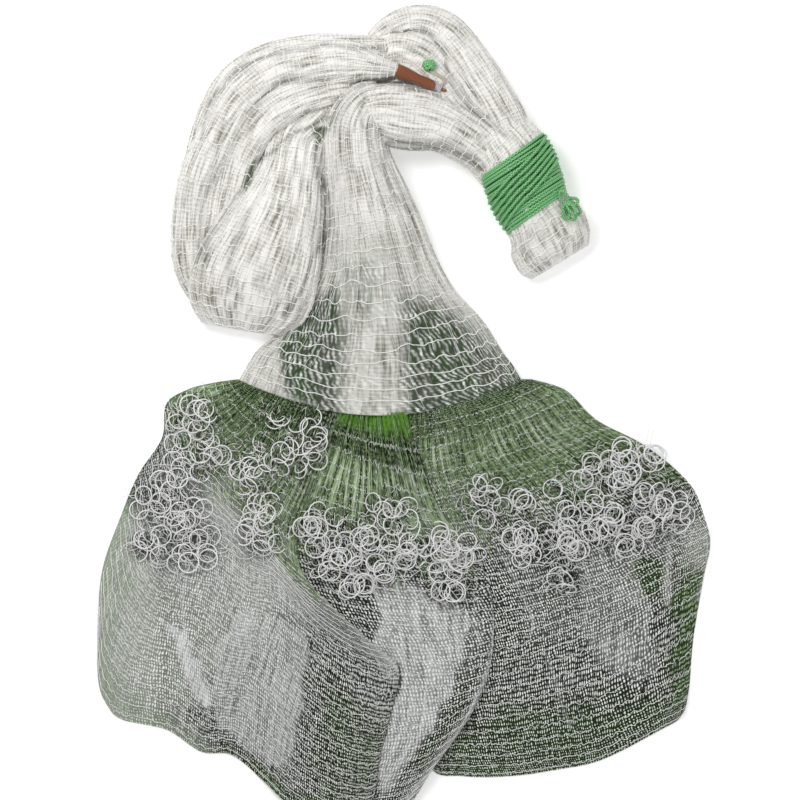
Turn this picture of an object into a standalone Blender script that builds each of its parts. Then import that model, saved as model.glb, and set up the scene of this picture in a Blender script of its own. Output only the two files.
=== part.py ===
"""A cast fishing net lying flat: the white body is gathered into a thick run that doubles back on
itself and is tied near its end, and the skirt spreads below it in three lobes with ring sinkers.

Metres, +Z up. The net lies on z = 0, and +Y points from the skirt to the gathered body.
"""

import math
import random
from collections import namedtuple

import bmesh
import bpy
from mathutils import Matrix, Vector, noise
from mathutils.bvhtree import BVHTree

# Driving dimensions.
PLAN_CENTRE = (0.0014, -0.0026)  # where the middle of the laid-out net falls in the plan below
GAP = 0.0003  # left between pieces that touch
NETTING = 0.002  # thickness of one laid layer of netting
CLEARANCE = 0.008  # from the top of one lobe to the top of the lobe that lies over it
FLOOR_CUT = 0.2  # depth of the block that trims the underside flat
RUN_SIDES = 24  # flats round a gathered run
ROWS_PER_STATION = 2  # sections lofted for each row of a run's table
PLEATS = ((5, 0.045, 0.7), (8, 0.035, 2.1))  # count round the run, depth, start
FULLNESS = 0.8  # 1 is an ellipse, less is boxier

CORD = 0.005  # hand line
WRAP_RIDGES = 9  # main turns that show round the tied end
RIDGE = 0.0012

# The whipping lies in the hollow between the outer arch and the neck.
WHIPPING_START = (-0.009, 0.553, 0.0655)
WHIPPING_END = (0.052, 0.527, 0.0685)
WHIPPING_RADII = (0.0105, 0.0072, 0.0028)  # at its start, its end and the tip of the net
WHIPPING_TIP = 0.020
WHIPPING_RIDGES = 10

RING_RADIUS = 0.0158  # to the middle of the wire
RING_WIRE = 0.0012
RING_LIFT = 0.002
RINGS_PER_CLUSTER = 12
RING_SPACING = 0.0375

LOBE_COLUMNS = 30
LOBE_ROWS = 12
GATHERS = 6
GATHER_DEPTH = 0.006

# A row for each place where a gathered run changes width, height or direction.
Station = namedtuple("Station", "x y z half_width half_height bow", defaults=(0.0,))

CONE = [
    Station(-0.036, 0.058, 0.006, 0.227, 0.008, 0.054),
    Station(-0.036, 0.090, 0.007, 0.208, 0.010, 0.045),
    Station(-0.036, 0.130, 0.011, 0.176, 0.014, 0.030),
    Station(-0.039, 0.178, 0.016, 0.139, 0.019, 0.015),
    Station(-0.042, 0.237, 0.022, 0.099, 0.025),
    Station(-0.050, 0.301, 0.029, 0.078, 0.030),
    Station(-0.059, 0.349, 0.036, 0.067, 0.033),
    Station(-0.072, 0.413, 0.046, 0.054, 0.035),
    Station(-0.074, 0.464, 0.050, 0.049, 0.035),
    Station(-0.062, 0.502, 0.048, 0.034, 0.028),
]
NECK_RUN = [
    Station(-0.085, 0.470, 0.046, 0.032, 0.026),
    Station(-0.045, 0.486, 0.050, 0.044, 0.034),
    Station(0.004, 0.483, 0.044, 0.051, 0.036),
    Station(0.060, 0.474, 0.036, 0.046, 0.036),
    Station(0.105, 0.448, 0.034, 0.042, 0.035),
    Station(0.136, 0.420, 0.036, 0.034, 0.030),
]
OUTER_ARCH = [
    Station(0.170, 0.444, 0.036, 0.036, 0.028),
    Station(0.141, 0.480, 0.034, 0.052, 0.034),
    Station(0.105, 0.524, 0.032, 0.059, 0.034),
    Station(0.070, 0.561, 0.030, 0.066, 0.032),
    Station(0.034, 0.582, 0.028, 0.070, 0.030),
    Station(-0.006, 0.581, 0.026, 0.066, 0.028),
    Station(-0.041, 0.562, 0.026, 0.052, 0.027),
    Station(-0.081, 0.534, 0.026, 0.040, 0.024),
]
TOP_AND_LEFT_RUN = [
    Station(-0.012, 0.5545, 0.0655, 0.011, 0.010),
    Station(-0.039, 0.561, 0.063, 0.025, 0.018),
    Station(-0.084, 0.561, 0.055, 0.043, 0.029),
    Station(-0.145, 0.547, 0.046, 0.058, 0.040),
    Station(-0.207, 0.528, 0.038, 0.066, 0.040),
    Station(-0.260, 0.490, 0.034, 0.063, 0.036),
    Station(-0.292, 0.429, 0.031, 0.056, 0.033),
    Station(-0.305, 0.357, 0.028, 0.054, 0.030),
    Station(-0.311, 0.285, 0.024, 0.055, 0.026),
    Station(-0.307, 0.224, 0.017, 0.050, 0.019),
    Station(-0.285, 0.185, 0.011, 0.040, 0.013),
]
RETURN_RUN = [
    Station(-0.085, 0.530, 0.028, 0.044, 0.024),
    Station(-0.131, 0.494, 0.030, 0.054, 0.028),
    Station(-0.168, 0.450, 0.034, 0.058, 0.032),
    Station(-0.180, 0.395, 0.038, 0.058, 0.034),
    Station(-0.193, 0.341, 0.042, 0.071, 0.034),
    Station(-0.216, 0.277, 0.044, 0.090, 0.032),
    Station(-0.239, 0.218, 0.036, 0.100, 0.027),
    Station(-0.250, 0.173, 0.024, 0.088, 0.020),
    Station(-0.256, 0.143, 0.014, 0.060, 0.013),
]
TIED_END = [
    Station(0.146, 0.462, 0.037, 0.044, 0.030),
    Station(0.160, 0.442, 0.039, 0.052, 0.033),
    Station(0.174, 0.421, 0.0405, 0.057, 0.034),
    Station(0.188, 0.388, 0.0405, 0.061, 0.034),
    Station(0.202, 0.355, 0.0405, 0.060, 0.034),
    Station(0.215, 0.325, 0.038, 0.055, 0.0315),
    Station(0.227, 0.304, 0.029, 0.066, 0.029),
    Station(0.238, 0.281, 0.024, 0.068, 0.026),
    Station(0.246, 0.264, 0.020, 0.064, 0.022),
    Station(0.251, 0.252, 0.014, 0.050, 0.014),
]
TIED_SKEW = 0.17  # radians that the turns slope round the tied end
WRAP_STATIONS = (2, 5)  # the rows of the tied end that the hand line covers

# Each lobe runs from its collar, along the foot of the body, out to its hem: x and y.
LEFT_HEM = [
    (-0.270, 0.062), (-0.305, 0.054), (-0.345, 0.045), (-0.378, 0.022), (-0.385, -0.032),
    (-0.423, -0.091), (-0.450, -0.155), (-0.479, -0.237), (-0.487, -0.314), (-0.487, -0.418),
    (-0.471, -0.462), (-0.447, -0.483), (-0.377, -0.499), (-0.322, -0.534), (-0.273, -0.539),
    (-0.222, -0.581), (-0.191, -0.606), (-0.116, -0.603), (-0.028, -0.547), (0.004, -0.475),
    (-0.028, -0.419), (-0.092, -0.310), (-0.145, -0.230), (-0.156, -0.131), (-0.116, -0.035),
]
MIDDLE_HEM = [
    (-0.094, -0.029), (-0.128, -0.139), (-0.140, -0.227), (-0.145, -0.355), (-0.145, -0.483),
    (-0.164, -0.571), (-0.185, -0.611), (-0.164, -0.635), (-0.092, -0.659), (-0.020, -0.646),
    (0.017, -0.611), (0.046, -0.565), (0.108, -0.477), (0.137, -0.411), (0.146, -0.334),
    (0.137, -0.259), (0.095, -0.195), (0.047, -0.139), (0.000, -0.029),
]
RIGHT_HEM = [
    (0.010, -0.010), (0.020, -0.099), (0.025, -0.227), (0.028, -0.355), (0.031, -0.467),
    (0.046, -0.560), (0.097, -0.573), (0.172, -0.573), (0.244, -0.563), (0.318, -0.547),
    (0.409, -0.501), (0.446, -0.477), (0.458, -0.435), (0.465, -0.355), (0.481, -0.258),
    (0.492, -0.203), (0.484, -0.162), (0.460, -0.106), (0.391, -0.046), (0.311, -0.003),
    (0.262, 0.040), (0.215, 0.062),
]

# A soft ridge of netting between two places, as wide and as high as given.
Fold = namedtuple("Fold", "x0 y0 x1 y1 width height")
LEFT_FOLDS = [
    Fold(-0.340, -0.250, -0.268, -0.515, 0.030, 0.016),
    Fold(-0.300, -0.235, -0.244, -0.483, 0.024, 0.012),
    Fold(-0.175, -0.037, -0.150, -0.045, 0.040, 0.016),
    Fold(-0.345, 0.020, -0.170, 0.010, 0.030, 0.018),
    Fold(-0.430, -0.260, -0.440, -0.420, 0.035, 0.010),
    Fold(-0.135, -0.215, -0.020, -0.400, 0.024, 0.006),
]
MIDDLE_FOLDS = [
    Fold(0.120, -0.300, 0.030, -0.540, 0.028, 0.010),
    Fold(-0.050, -0.050, -0.055, -0.180, 0.025, 0.010),
    Fold(0.000, -0.060, 0.045, -0.180, 0.020, 0.008),
]
RIGHT_FOLDS = [
    Fold(0.210, -0.243, 0.264, -0.507, 0.028, 0.012),
    Fold(0.360, -0.060, 0.450, -0.200, 0.032, 0.014),
    Fold(0.070, 0.000, 0.230, 0.020, 0.026, 0.016),
    Fold(0.390, -0.300, 0.425, -0.450, 0.030, 0.010),
]

# Where the ring sinkers have bunched up.
Cluster = namedtuple("Cluster", "x y half_x half_y seed")
CLUSTERS = [
    Cluster(-0.262, -0.105, 0.120, 0.105, 3),
    Cluster(0.005, -0.225, 0.080, 0.070, 5),
    Cluster(0.305, -0.155, 0.130, 0.070, 8),
]


def material(name, colour, roughness, metallic=0.0):
    """A Principled material of one colour."""
    made = bpy.data.materials.new(name)
    made.use_nodes = True
    shader = made.node_tree.nodes["Principled BSDF"]
    shader.inputs["Base Color"].default_value = (*colour, 1.0)
    shader.inputs["Roughness"].default_value = roughness
    shader.inputs["Metallic"].default_value = metallic
    made.diffuse_color = (*colour, 1.0)
    return made


def add_object(name, bm, collection, surface=None):
    """An object made from a bmesh, with its faces turned outwards."""
    bmesh.ops.recalc_face_normals(bm, faces=bm.faces)
    mesh = bpy.data.meshes.new(name)
    bm.to_mesh(mesh)
    bm.free()
    made = bpy.data.objects.new(name, mesh)
    collection.objects.link(made)
    if surface:
        mesh.materials.append(surface)
    return made


def as_cutter(made):
    """Keeps a helper out of the model."""
    made.hide_render = True
    made.display_type = "WIRE"
    return made


def smooth_rows(rows, count):
    """Rows read from one smooth curve through the rows given."""
    spans = len(rows) - 1
    found = []
    for i in range(count):
        place = min(i * spans / (count - 1), spans - 1e-9)
        k = int(place)
        t = place - k
        before, start, end, after = (
            rows[max(0, min(spans, k + step))] for step in (-1, 0, 1, 2)
        )
        found.append([
            0.5 * (2 * b + (c - a) * t + (2 * a - 5 * b + 4 * c - d) * t**2
                   + (3 * b - a - 3 * c + d) * t**3)
            for a, b, c, d in zip(before, start, end, after)
        ])
    return found


def evenly(points, count):
    """Points spaced evenly along a smooth curve through the points given."""
    fine = [Vector(row) for row in smooth_rows(points, 20 * len(points))]
    lengths = [0.0]
    for a, b in zip(fine, fine[1:]):
        lengths.append(lengths[-1] + (b - a).length)
    found, k = [], 0
    for i in range(count):
        wanted = lengths[-1] * i / (count - 1)
        while k < len(fine) - 2 and lengths[k + 1] < wanted:
            k += 1
        share = (wanted - lengths[k]) / max(lengths[k + 1] - lengths[k], 1e-9)
        found.append(fine[k].lerp(fine[k + 1], min(1.0, share)))
    return found


def rounded(angle):
    """A point of a full, boxy oval of half-width and half-height 1."""
    c, s = math.cos(angle), math.sin(angle)
    return (
        math.copysign(abs(c) ** FULLNESS, c),
        math.copysign(abs(s) ** FULLNESS, s),
    )


def section(row, heading, along, grow=0.0, pleated=True):
    """The points round a run at one row of its table; heading points along the run."""
    x, y, z, half_width, half_height, bow = row
    side = Vector((-heading.y, heading.x, 0.0))
    points = []
    for i in range(RUN_SIDES):
        angle = 2 * math.pi * (i + 0.5) / RUN_SIDES
        across, up = rounded(angle)
        swell = 1.0
        if pleated:
            swell += sum(d * math.sin(n * angle + s + 9 * along) for n, d, s in PLEATS)
        reach = (half_width + grow) * across
        point = Vector((x, y, z)) + side * reach
        point -= heading * bow * (1 - across**2)
        point.z += (half_height + grow) * up * swell
        points.append(point)
    return points


def headings(rows, skew=0.0):
    """The direction of a run in plan at each of its rows, turned by skew."""
    found = []
    for i in range(len(rows)):
        a, b = rows[max(0, i - 1)], rows[min(len(rows) - 1, i + 1)]
        angle = math.atan2(b[1] - a[1], b[0] - a[0]) + skew
        found.append(Vector((math.cos(angle), math.sin(angle), 0.0)))
    return found


def loft(rings, closed=False):
    """A skin over rings of points, capped at both ends unless it closes on itself."""
    bm = bmesh.new()
    loops = [[bm.verts.new(point) for point in ring] for ring in rings]
    pairs = list(zip(loops, loops[1:]))
    if closed:
        pairs.append((loops[-1], loops[0]))
    for a, b in pairs:
        for i in range(len(a)):
            j = (i + 1) % len(a)
            bm.faces.new((a[i], a[j], b[j], b[i]))
    if not closed:
        bm.faces.new(list(reversed(loops[0])))
        bm.faces.new(loops[-1])
    return bm


def gathered_run(name, table, collection, skew=0.0, pleated=True):
    """One run of gathered netting, lofted through its table."""
    rows = smooth_rows(table, ROWS_PER_STATION * len(table))
    ways = headings(rows, skew)
    rings = [
        section(row, way, i / len(rows), pleated=pleated)
        for i, (row, way) in enumerate(zip(rows, ways))
    ]
    return add_object(name, loft(rings), collection)


def combine(target, other, operation):
    """A Boolean modifier with another object."""
    modifier = target.modifiers.new(f"{operation.title()} {other.name}", "BOOLEAN")
    modifier.operation = operation
    modifier.solver = "EXACT"
    modifier.object = other


def floor_block(collection):
    """A block below z = 0 that trims undersides flat."""
    bm = bmesh.new()
    bmesh.ops.create_cube(bm, size=1.0)
    bmesh.ops.scale(bm, vec=(2.0, 2.0, FLOOR_CUT), verts=bm.verts)
    bmesh.ops.translate(bm, vec=(0.0, 0.0, -FLOOR_CUT / 2), verts=bm.verts)
    return as_cutter(add_object("floor_block", bm, collection))


def net_body(model, cutters, floor, netting):
    """The white netting: the cone and every gathered run, joined into one piece."""
    whipping = as_cutter(add_object("whipping_space", whipping_shape(2 * GAP), cutters))
    body = gathered_run("net_body", CONE, model)
    for name, table, skew, pleated in (
        ("neck_run", NECK_RUN, 0.0, True),
        ("outer_arch", OUTER_ARCH, 0.0, True),
        ("top_and_left_run", TOP_AND_LEFT_RUN, 0.0, True),
        ("return_run", RETURN_RUN, 0.0, True),
        ("tied_end", TIED_END, TIED_SKEW, False),
    ):
        combine(body, as_cutter(gathered_run(name, table, cutters, skew, pleated)), "UNION")
    combine(body, floor, "DIFFERENCE")
    combine(body, whipping, "DIFFERENCE")
    body.data.materials.append(netting)
    return body


def tied_rings(grow, ridged=False):
    """Sections of the tied end where the hand line covers it, enlarged by grow."""
    rows = smooth_rows(TIED_END, ROWS_PER_STATION * len(TIED_END))
    ways = headings(rows, TIED_SKEW)
    spans = len(TIED_END) - 1
    first, last = (stop * (len(rows) - 1) / spans for stop in WRAP_STATIONS)
    count = 2 * WRAP_RIDGES + 1
    rings = []
    for i in range(count):
        place = first + (last - first) * i / (count - 1)
        k = min(int(place), len(rows) - 2)
        t = place - k
        row = [a + (b - a) * t for a, b in zip(rows[k], rows[k + 1])]
        more = grow + (RIDGE if ridged and i % 2 else 0.0)
        rings.append(section(row, ways[k].lerp(ways[k + 1], t), 0.0, more, pleated=False))
    return rings


def hand_line_wrap(model, floor, braid):
    """The turns of the hand line round the tied end, as one ridged sleeve."""
    inner = tied_rings(2 * GAP)
    outer = tied_rings(CORD, ridged=True)
    wrap = add_object("hand_line_wrap", loft(outer + inner[::-1], closed=True), model, braid)
    combine(wrap, floor, "DIFFERENCE")
    return wrap


def lump(name, place, radii, turn, model, surface, roughness=0.12):
    """A rounded lump with an uneven surface, such as a knot or a lashing."""
    bm = bmesh.new()
    bmesh.ops.create_uvsphere(bm, u_segments=14, v_segments=8, radius=1.0)
    for vert in bm.verts:
        vert.co *= 1.0 + roughness * noise.noise(vert.co * 2.5)
    bmesh.ops.scale(bm, vec=radii, verts=bm.verts)
    bmesh.ops.rotate(bm, matrix=Matrix.Rotation(turn, 3, "Z"), verts=bm.verts)
    bmesh.ops.translate(bm, vec=place, verts=bm.verts)
    return add_object(name, bm, model, surface)


def hand_line_knot(model, cutters, braid):
    """The looped knot that ends the hand line, hugging the edge of the tied end."""
    knot = lump("hand_line_knot", (0.266, 0.338, 0.052), (0.021, 0.027, 0.020), 0.5, model, braid)
    rows = smooth_rows(TIED_END, ROWS_PER_STATION * len(TIED_END))
    ways = headings(rows, TIED_SKEW)
    bundle = [section(row, way, 0.0, 2 * GAP, False) for row, way in zip(rows, ways)]
    turns = tied_rings(CORD + RIDGE + GAP)
    for name, rings in (("bundle_space", bundle), ("turns_space", turns)):
        combine(knot, as_cutter(add_object(name, loft(rings), cutters)), "DIFFERENCE")
    return knot


def apex_fittings(model, surfaces):
    """The cord knot, the loop that joins it to the whipping, and the white lashing."""
    lump("apex_knot", (0.042, 0.560, 0.0705), (0.012, 0.0115, 0.0105), 0.0, model, surfaces["braid"])
    loop = [
        (0.047, 0.5475, 0.0640), (0.055, 0.5455, 0.0642), (0.0620, 0.5420, 0.0648),
        (0.0655, 0.5350, 0.0655), (0.0680, 0.5275, 0.0665),
    ]
    cord_tube("apex_loop", loop, 0.0032, model, surfaces["cream"])
    lump("apex_lashing", (0.057, 0.5245, 0.0795), (0.0095, 0.0055, 0.0040), -0.3, model,
         surfaces["thread"])


def whipping_shape(grow=0.0):
    """The tapered cylinder of the whipping and the net's tip beyond it, enlarged by grow."""
    start, end = Vector(WHIPPING_START), Vector(WHIPPING_END)
    way = (end - start).normalized()
    side = Vector((-way.y, way.x, 0.0)).normalized()
    up = side.cross(way)
    length = (end - start).length
    wide, narrow, tip = WHIPPING_RADII
    profile = [(-grow, wide)]
    for i in range(1, 2 * WHIPPING_RIDGES):
        share = i / (2 * WHIPPING_RIDGES)
        radius = wide + (narrow - wide) * share + (RIDGE / 2 if i % 2 else 0.0)
        profile.append((length * share, radius))
    profile += [(length, narrow), (length + 0.004, 0.6 * narrow)]
    profile.append((length + WHIPPING_TIP + grow, tip))
    sides = 14
    rings = []
    for along, radius in profile:
        centre = start + way * along
        reach = radius + grow
        turns = [2 * math.pi * i / sides for i in range(sides)]
        rings.append([
            centre + side * (reach * math.cos(turn)) + up * (reach * math.sin(turn))
            for turn in turns
        ])
    return loft(rings)


def cord_tube(name, points, thickness, model, surface):
    """A short length of cord as a tube along a smooth curve."""
    curve = bpy.data.curves.new(name, "CURVE")
    curve.dimensions = "3D"
    curve.bevel_depth = thickness / 2
    curve.bevel_resolution = 2
    curve.use_fill_caps = True
    spline = curve.splines.new("POLY")
    places = evenly(points, 14)
    spline.points.add(len(places) - 1)
    for point, place in zip(spline.points, places):
        point.co = (*place, 1.0)
    made = bpy.data.objects.new(name, curve)
    curve.materials.append(surface)
    model.objects.link(made)
    return made


def ridge_height(folds, x, y):
    """The height that a lobe's folds add at one place."""
    height = 0.0
    for fold in folds:
        along = Vector((fold.x1 - fold.x0, fold.y1 - fold.y0))
        place = Vector((x - fold.x0, y - fold.y0))
        share = max(0.0, min(1.0, place.dot(along) / along.length_squared))
        off = (place - along * share).length
        height = max(height, fold.height * math.exp(-((off / fold.width) ** 2)))
    return height


def ramp(value, low, high):
    """0 at low, 1 at high, eased between them."""
    share = max(0.0, min(1.0, (value - low) / (high - low)))
    return share * share * (3 - 2 * share)


def right_height(x, y):
    """The top of the right lobe above the surface it lies on."""
    return NETTING + ridge_height(RIGHT_FOLDS, x, y)


def middle_height(x, y):
    """The top of the middle lobe, which lifts to lie over the right one."""
    lift = ramp(x, -0.060, 0.000) * (right_height(x, y) + CLEARANCE - NETTING)
    return NETTING + lift + ridge_height(MIDDLE_FOLDS, x, y)


def left_height(x, y):
    """The top of the left lobe, which lifts to lie over the middle one."""
    lift = ramp(x, -0.250, -0.190) * ramp(-y, 0.050, 0.110)
    over = lift * (middle_height(x, y) + CLEARANCE - NETTING)
    return NETTING + over + ridge_height(LEFT_FOLDS, x, y)


def lobe(name, collar, hem, height, model, netting):
    """One lobe of the skirt: a single layer of netting, gathered at its collar."""
    tops = evenly(collar, LOBE_COLUMNS + 1)
    hems = evenly(hem, LOBE_COLUMNS + 1)
    bm = bmesh.new()
    grid = []
    for j in range(LOBE_ROWS + 1):
        v = j / LOBE_ROWS
        row = []
        for i in range(LOBE_COLUMNS + 1):
            x, y = tops[i].lerp(hems[i], v)
            gather = 0.5 + 0.5 * math.cos(2 * math.pi * GATHERS * i / LOBE_COLUMNS)
            z = height(x, y) + GATHER_DEPTH * gather * (1 - ramp(v, 0.0, 0.35))
            row.append(bm.verts.new((x, y, z)))
        grid.append(row)
    for upper, lower in zip(grid, grid[1:]):
        for i in range(LOBE_COLUMNS):
            bm.faces.new((upper[i], lower[i], lower[i + 1], upper[i + 1]))
    made = add_object(name, bm, model, netting)
    turn_up(made)
    thick = made.modifiers.new("Thickness", "SOLIDIFY")
    thick.thickness = NETTING
    thick.offset = -1.0
    return made


def turn_up(made):
    """Turns an open sheet's faces to look up."""
    bm = bmesh.new()
    bm.from_mesh(made.data)
    bm.normal_update()
    if sum(face.normal.z for face in bm.faces) < 0:
        bmesh.ops.reverse_faces(bm, faces=bm.faces)
    bm.to_mesh(made.data)
    bm.free()


def foot_of_body(x):
    """How far down the plan the cone reaches at x, less a small gap."""
    foot = CONE[0]
    share = min(1.0, abs(x - foot.x) / foot.half_width)
    return foot.y - foot.bow * (1 - share**2) - 0.002


def collar_line(x0, x1):
    """A collar that follows the foot of the body."""
    steps = 5
    xs = [x0 + (x1 - x0) * i / steps for i in range(steps + 1)]
    return [(x, foot_of_body(x)) for x in xs]


def trees_of(objects):
    """A search tree of each object as it is finished by its modifiers."""
    bpy.context.view_layer.update()
    graph = bpy.context.evaluated_depsgraph_get()
    return [BVHTree.FromObject(made, graph) for made in objects]


def top_at(trees, x, y):
    """The height of the highest of these surfaces at one place."""
    heights = [0.0]
    for tree in trees:
        hit = tree.ray_cast(Vector((x, y, 1.0)), Vector((0.0, 0.0, -1.0)))
        if hit[0]:
            heights.append(hit[0].z)
    return max(heights)


def ring_places(trees):
    """Places for the ring sinkers: flat, clear of each other and just above the netting."""
    places = []
    for cluster in CLUSTERS:
        draw = random.Random(cluster.seed)
        found = []
        while len(found) < RINGS_PER_CLUSTER:
            x = cluster.x + draw.uniform(-1, 1) * cluster.half_x
            y = cluster.y + draw.uniform(-1, 1) * cluster.half_y
            if all(math.hypot(x - a, y - b) > RING_SPACING for a, b in found):
                found.append((x, y))
        for x, y in found:
            under = [top_at(trees, x, y)]
            for i in range(16):
                angle = 2 * math.pi * i / 16
                for reach in (0.5, 1.0, 1.1):
                    away = RING_RADIUS * reach
                    spot = (x + away * math.cos(angle), y + away * math.sin(angle))
                    under.append(top_at(trees, *spot))
            places.append((x, y, max(under) + RING_LIFT + RING_WIRE))
    return places


def ring_sinkers(model, trees, steel):
    """The thin wire rings that weight the hem."""
    mesh = None
    for number, place in enumerate(ring_places(trees), 1):
        name = f"ring_{number:02d}"
        if mesh is None:
            bpy.ops.mesh.primitive_torus_add(
                major_radius=RING_RADIUS, minor_radius=RING_WIRE,
                major_segments=12, minor_segments=5,
            )
            ring = bpy.context.object
            mesh = ring.data
            mesh.materials.append(steel)
            mesh.shade_smooth()
            for other in list(ring.users_collection):
                other.objects.unlink(ring)
        else:
            ring = bpy.data.objects.new(name, mesh)
        ring.name = name
        ring.location = place
        model.objects.link(ring)


def centre_on_origin():
    """Parents everything to an empty that brings the middle of the plan to the origin."""
    middle = bpy.data.objects.new("Middle", None)
    middle.location = (-PLAN_CENTRE[0], -PLAN_CENTRE[1], 0.0)
    bpy.context.scene.collection.objects.link(middle)
    for made in bpy.data.objects:
        if made is not middle:
            made.parent = middle


def main():
    for old in list(bpy.data.objects):
        bpy.data.objects.remove(old, do_unlink=True)
    model = bpy.data.collections.new("Cast net")
    cutters = bpy.data.collections.new("Cutters")
    for made in (model, cutters):
        bpy.context.scene.collection.children.link(made)

    surfaces = {
        "white": material("white netting", (0.68, 0.66, 0.62), 0.45),
        "green": material("green netting", (0.13, 0.20, 0.11), 0.55),
        "braid": material("green braid", (0.03, 0.30, 0.08), 0.5),
        "twine": material("brown twine", (0.35, 0.12, 0.05), 0.7),
        "cream": material("cream cord", (0.60, 0.52, 0.42), 0.7),
        "thread": material("white thread", (0.75, 0.76, 0.80), 0.6),
        "steel": material("ring steel", (0.75, 0.75, 0.75), 0.3, 1.0),
    }
    floor = floor_block(cutters)
    net_body(model, cutters, floor, surfaces["white"])
    hand_line_wrap(model, floor, surfaces["braid"])
    hand_line_knot(model, cutters, surfaces["braid"])
    add_object("apex_whipping", whipping_shape(), model, surfaces["twine"])
    apex_fittings(model, surfaces)
    lobes = [
        lobe(name, collar_line(*ends), hem, height, model, surfaces["green"])
        for name, ends, hem, height in (
            ("skirt_right", (0.008, 0.205), RIGHT_HEM, right_height),
            ("skirt_middle", (-0.092, -0.004), MIDDLE_HEM, middle_height),
            ("skirt_left", (-0.262, -0.104), LEFT_HEM, left_height),
        )
    ]
    ring_sinkers(model, trees_of(lobes), surfaces["steel"])
    centre_on_origin()


if __name__ == "__main__":
    main()
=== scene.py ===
"""Cast fishing net, laid flat: the visible netting, ring sinkers, hand line and apex whipping."""

import math
import random
from collections import namedtuple

import bmesh
import bpy
import numpy as np
from bpy.props import FloatProperty, FloatVectorProperty, IntProperty, PointerProperty
from mathutils import Euler, Matrix, Vector


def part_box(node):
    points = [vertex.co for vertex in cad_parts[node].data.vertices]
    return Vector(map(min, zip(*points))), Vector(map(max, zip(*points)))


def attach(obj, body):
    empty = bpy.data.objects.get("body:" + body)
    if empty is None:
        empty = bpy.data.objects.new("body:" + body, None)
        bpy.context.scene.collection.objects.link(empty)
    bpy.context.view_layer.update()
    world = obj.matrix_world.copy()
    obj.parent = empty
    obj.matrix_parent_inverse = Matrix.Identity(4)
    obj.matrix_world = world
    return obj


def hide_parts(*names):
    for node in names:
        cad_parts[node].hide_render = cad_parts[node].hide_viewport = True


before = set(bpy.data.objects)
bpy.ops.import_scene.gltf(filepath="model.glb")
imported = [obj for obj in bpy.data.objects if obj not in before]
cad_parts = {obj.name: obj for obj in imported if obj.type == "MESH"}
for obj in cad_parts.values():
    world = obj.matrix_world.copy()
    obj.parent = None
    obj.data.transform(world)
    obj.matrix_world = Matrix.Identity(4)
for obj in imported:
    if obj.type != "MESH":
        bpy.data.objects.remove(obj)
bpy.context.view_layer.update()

bl_info = {
    "name": "Cast fishing net",
    "version": (1, 0, 0),
    "blender": (4, 5, 0),
    "location": "View3D > Sidebar > Net",
    "description": "Builds the netting, sinkers and cords of a cast net around its solid model",
    "category": "Object",
}

# Where the middle of the net falls in the plan that the tables below are written in, in metres.
PLAN_CENTRE = np.array((0.0014, -0.0026, 0.0))

# The make of the netting.
FULLNESS = 0.8  # the power that squares off a run's round section
ROW_PITCH = 0.0186  # between the rows of knots that show as rungs
FINE_PITCH = 0.0054  # between the fine rows of strokes
STROKE_LEAN = 0.34  # how far a stroke leans from one fine row to the next
RUN_STEP = 0.0042  # the length of the flats along a run
RUN_AHEAD = 0.01  # how far each way along a run its direction is taken
RUN_THREADS = 0.35  # threads that stand out on a run, for each flat round it
LOBE_THREADS = 26  # threads that stand out on a lobe, for each of its pleats
LOBE_RUNG = 0.62  # how thick a lobe's rows of knots are, as a share of a run's

# How the layers lie over each other.
FLOOR_GAP = 0.0004  # under the lowest netting
SHEET_RISE = 0.002  # the height of a lobe where no fold lifts it
LAYER_GAP = 0.006  # between a lobe and the one that lies on it
COLLAR_TUCK = 0.004  # how far a collar reaches in under the cone
STRAND_LIFT = 0.0006  # of threads and knots off a lobe
TWINE_LIFT = 0.006  # of loose twine off a lobe
TWINE_SPREAD = 1.15  # how far loose twine strays past the edge of its bunch of rings
TWINE_BITS = 7  # bits of loose twine for each ring that stands out
FUZZ_INSET = 0.008  # how far fuzz keeps inside a lobe's rim
RING_SHADE = 0.014  # how far the shade round a bunch of rings reaches

# The fine grid that heights are read off: its low corner, its step and its cells.
MAP_LOW = (-0.56, -0.72)
MAP_STEP = 0.002
MAP_CELLS = (560, 420)

# A section across a run: its middle, its half sizes and how far it bows at its middle.
Station = namedtuple("Station", "x y z half_width half_height bow", defaults=(0.0,))
CONE = [
    Station(-0.036, 0.058, 0.006, 0.227, 0.008, 0.054),
    Station(-0.036, 0.090, 0.007, 0.208, 0.010, 0.045),
    Station(-0.036, 0.130, 0.011, 0.176, 0.014, 0.030),
    Station(-0.039, 0.178, 0.016, 0.139, 0.019, 0.015),
    Station(-0.042, 0.237, 0.022, 0.099, 0.025),
    Station(-0.050, 0.301, 0.029, 0.078, 0.030),
    Station(-0.059, 0.349, 0.036, 0.067, 0.033),
    Station(-0.072, 0.413, 0.046, 0.054, 0.035),
    Station(-0.074, 0.464, 0.050, 0.049, 0.035),
    Station(-0.058, 0.498, 0.050, 0.038, 0.031),
    Station(-0.030, 0.517, 0.045, 0.026, 0.022),
]
NECK_RUN = [
    Station(-0.085, 0.470, 0.046, 0.032, 0.026),
    Station(-0.045, 0.486, 0.050, 0.044, 0.034),
    Station(0.004, 0.483, 0.044, 0.051, 0.036),
    Station(0.060, 0.474, 0.036, 0.046, 0.036),
    Station(0.105, 0.448, 0.034, 0.042, 0.035),
    Station(0.136, 0.422, 0.036, 0.036, 0.030),
    Station(0.160, 0.394, 0.036, 0.036, 0.029),
]
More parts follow.
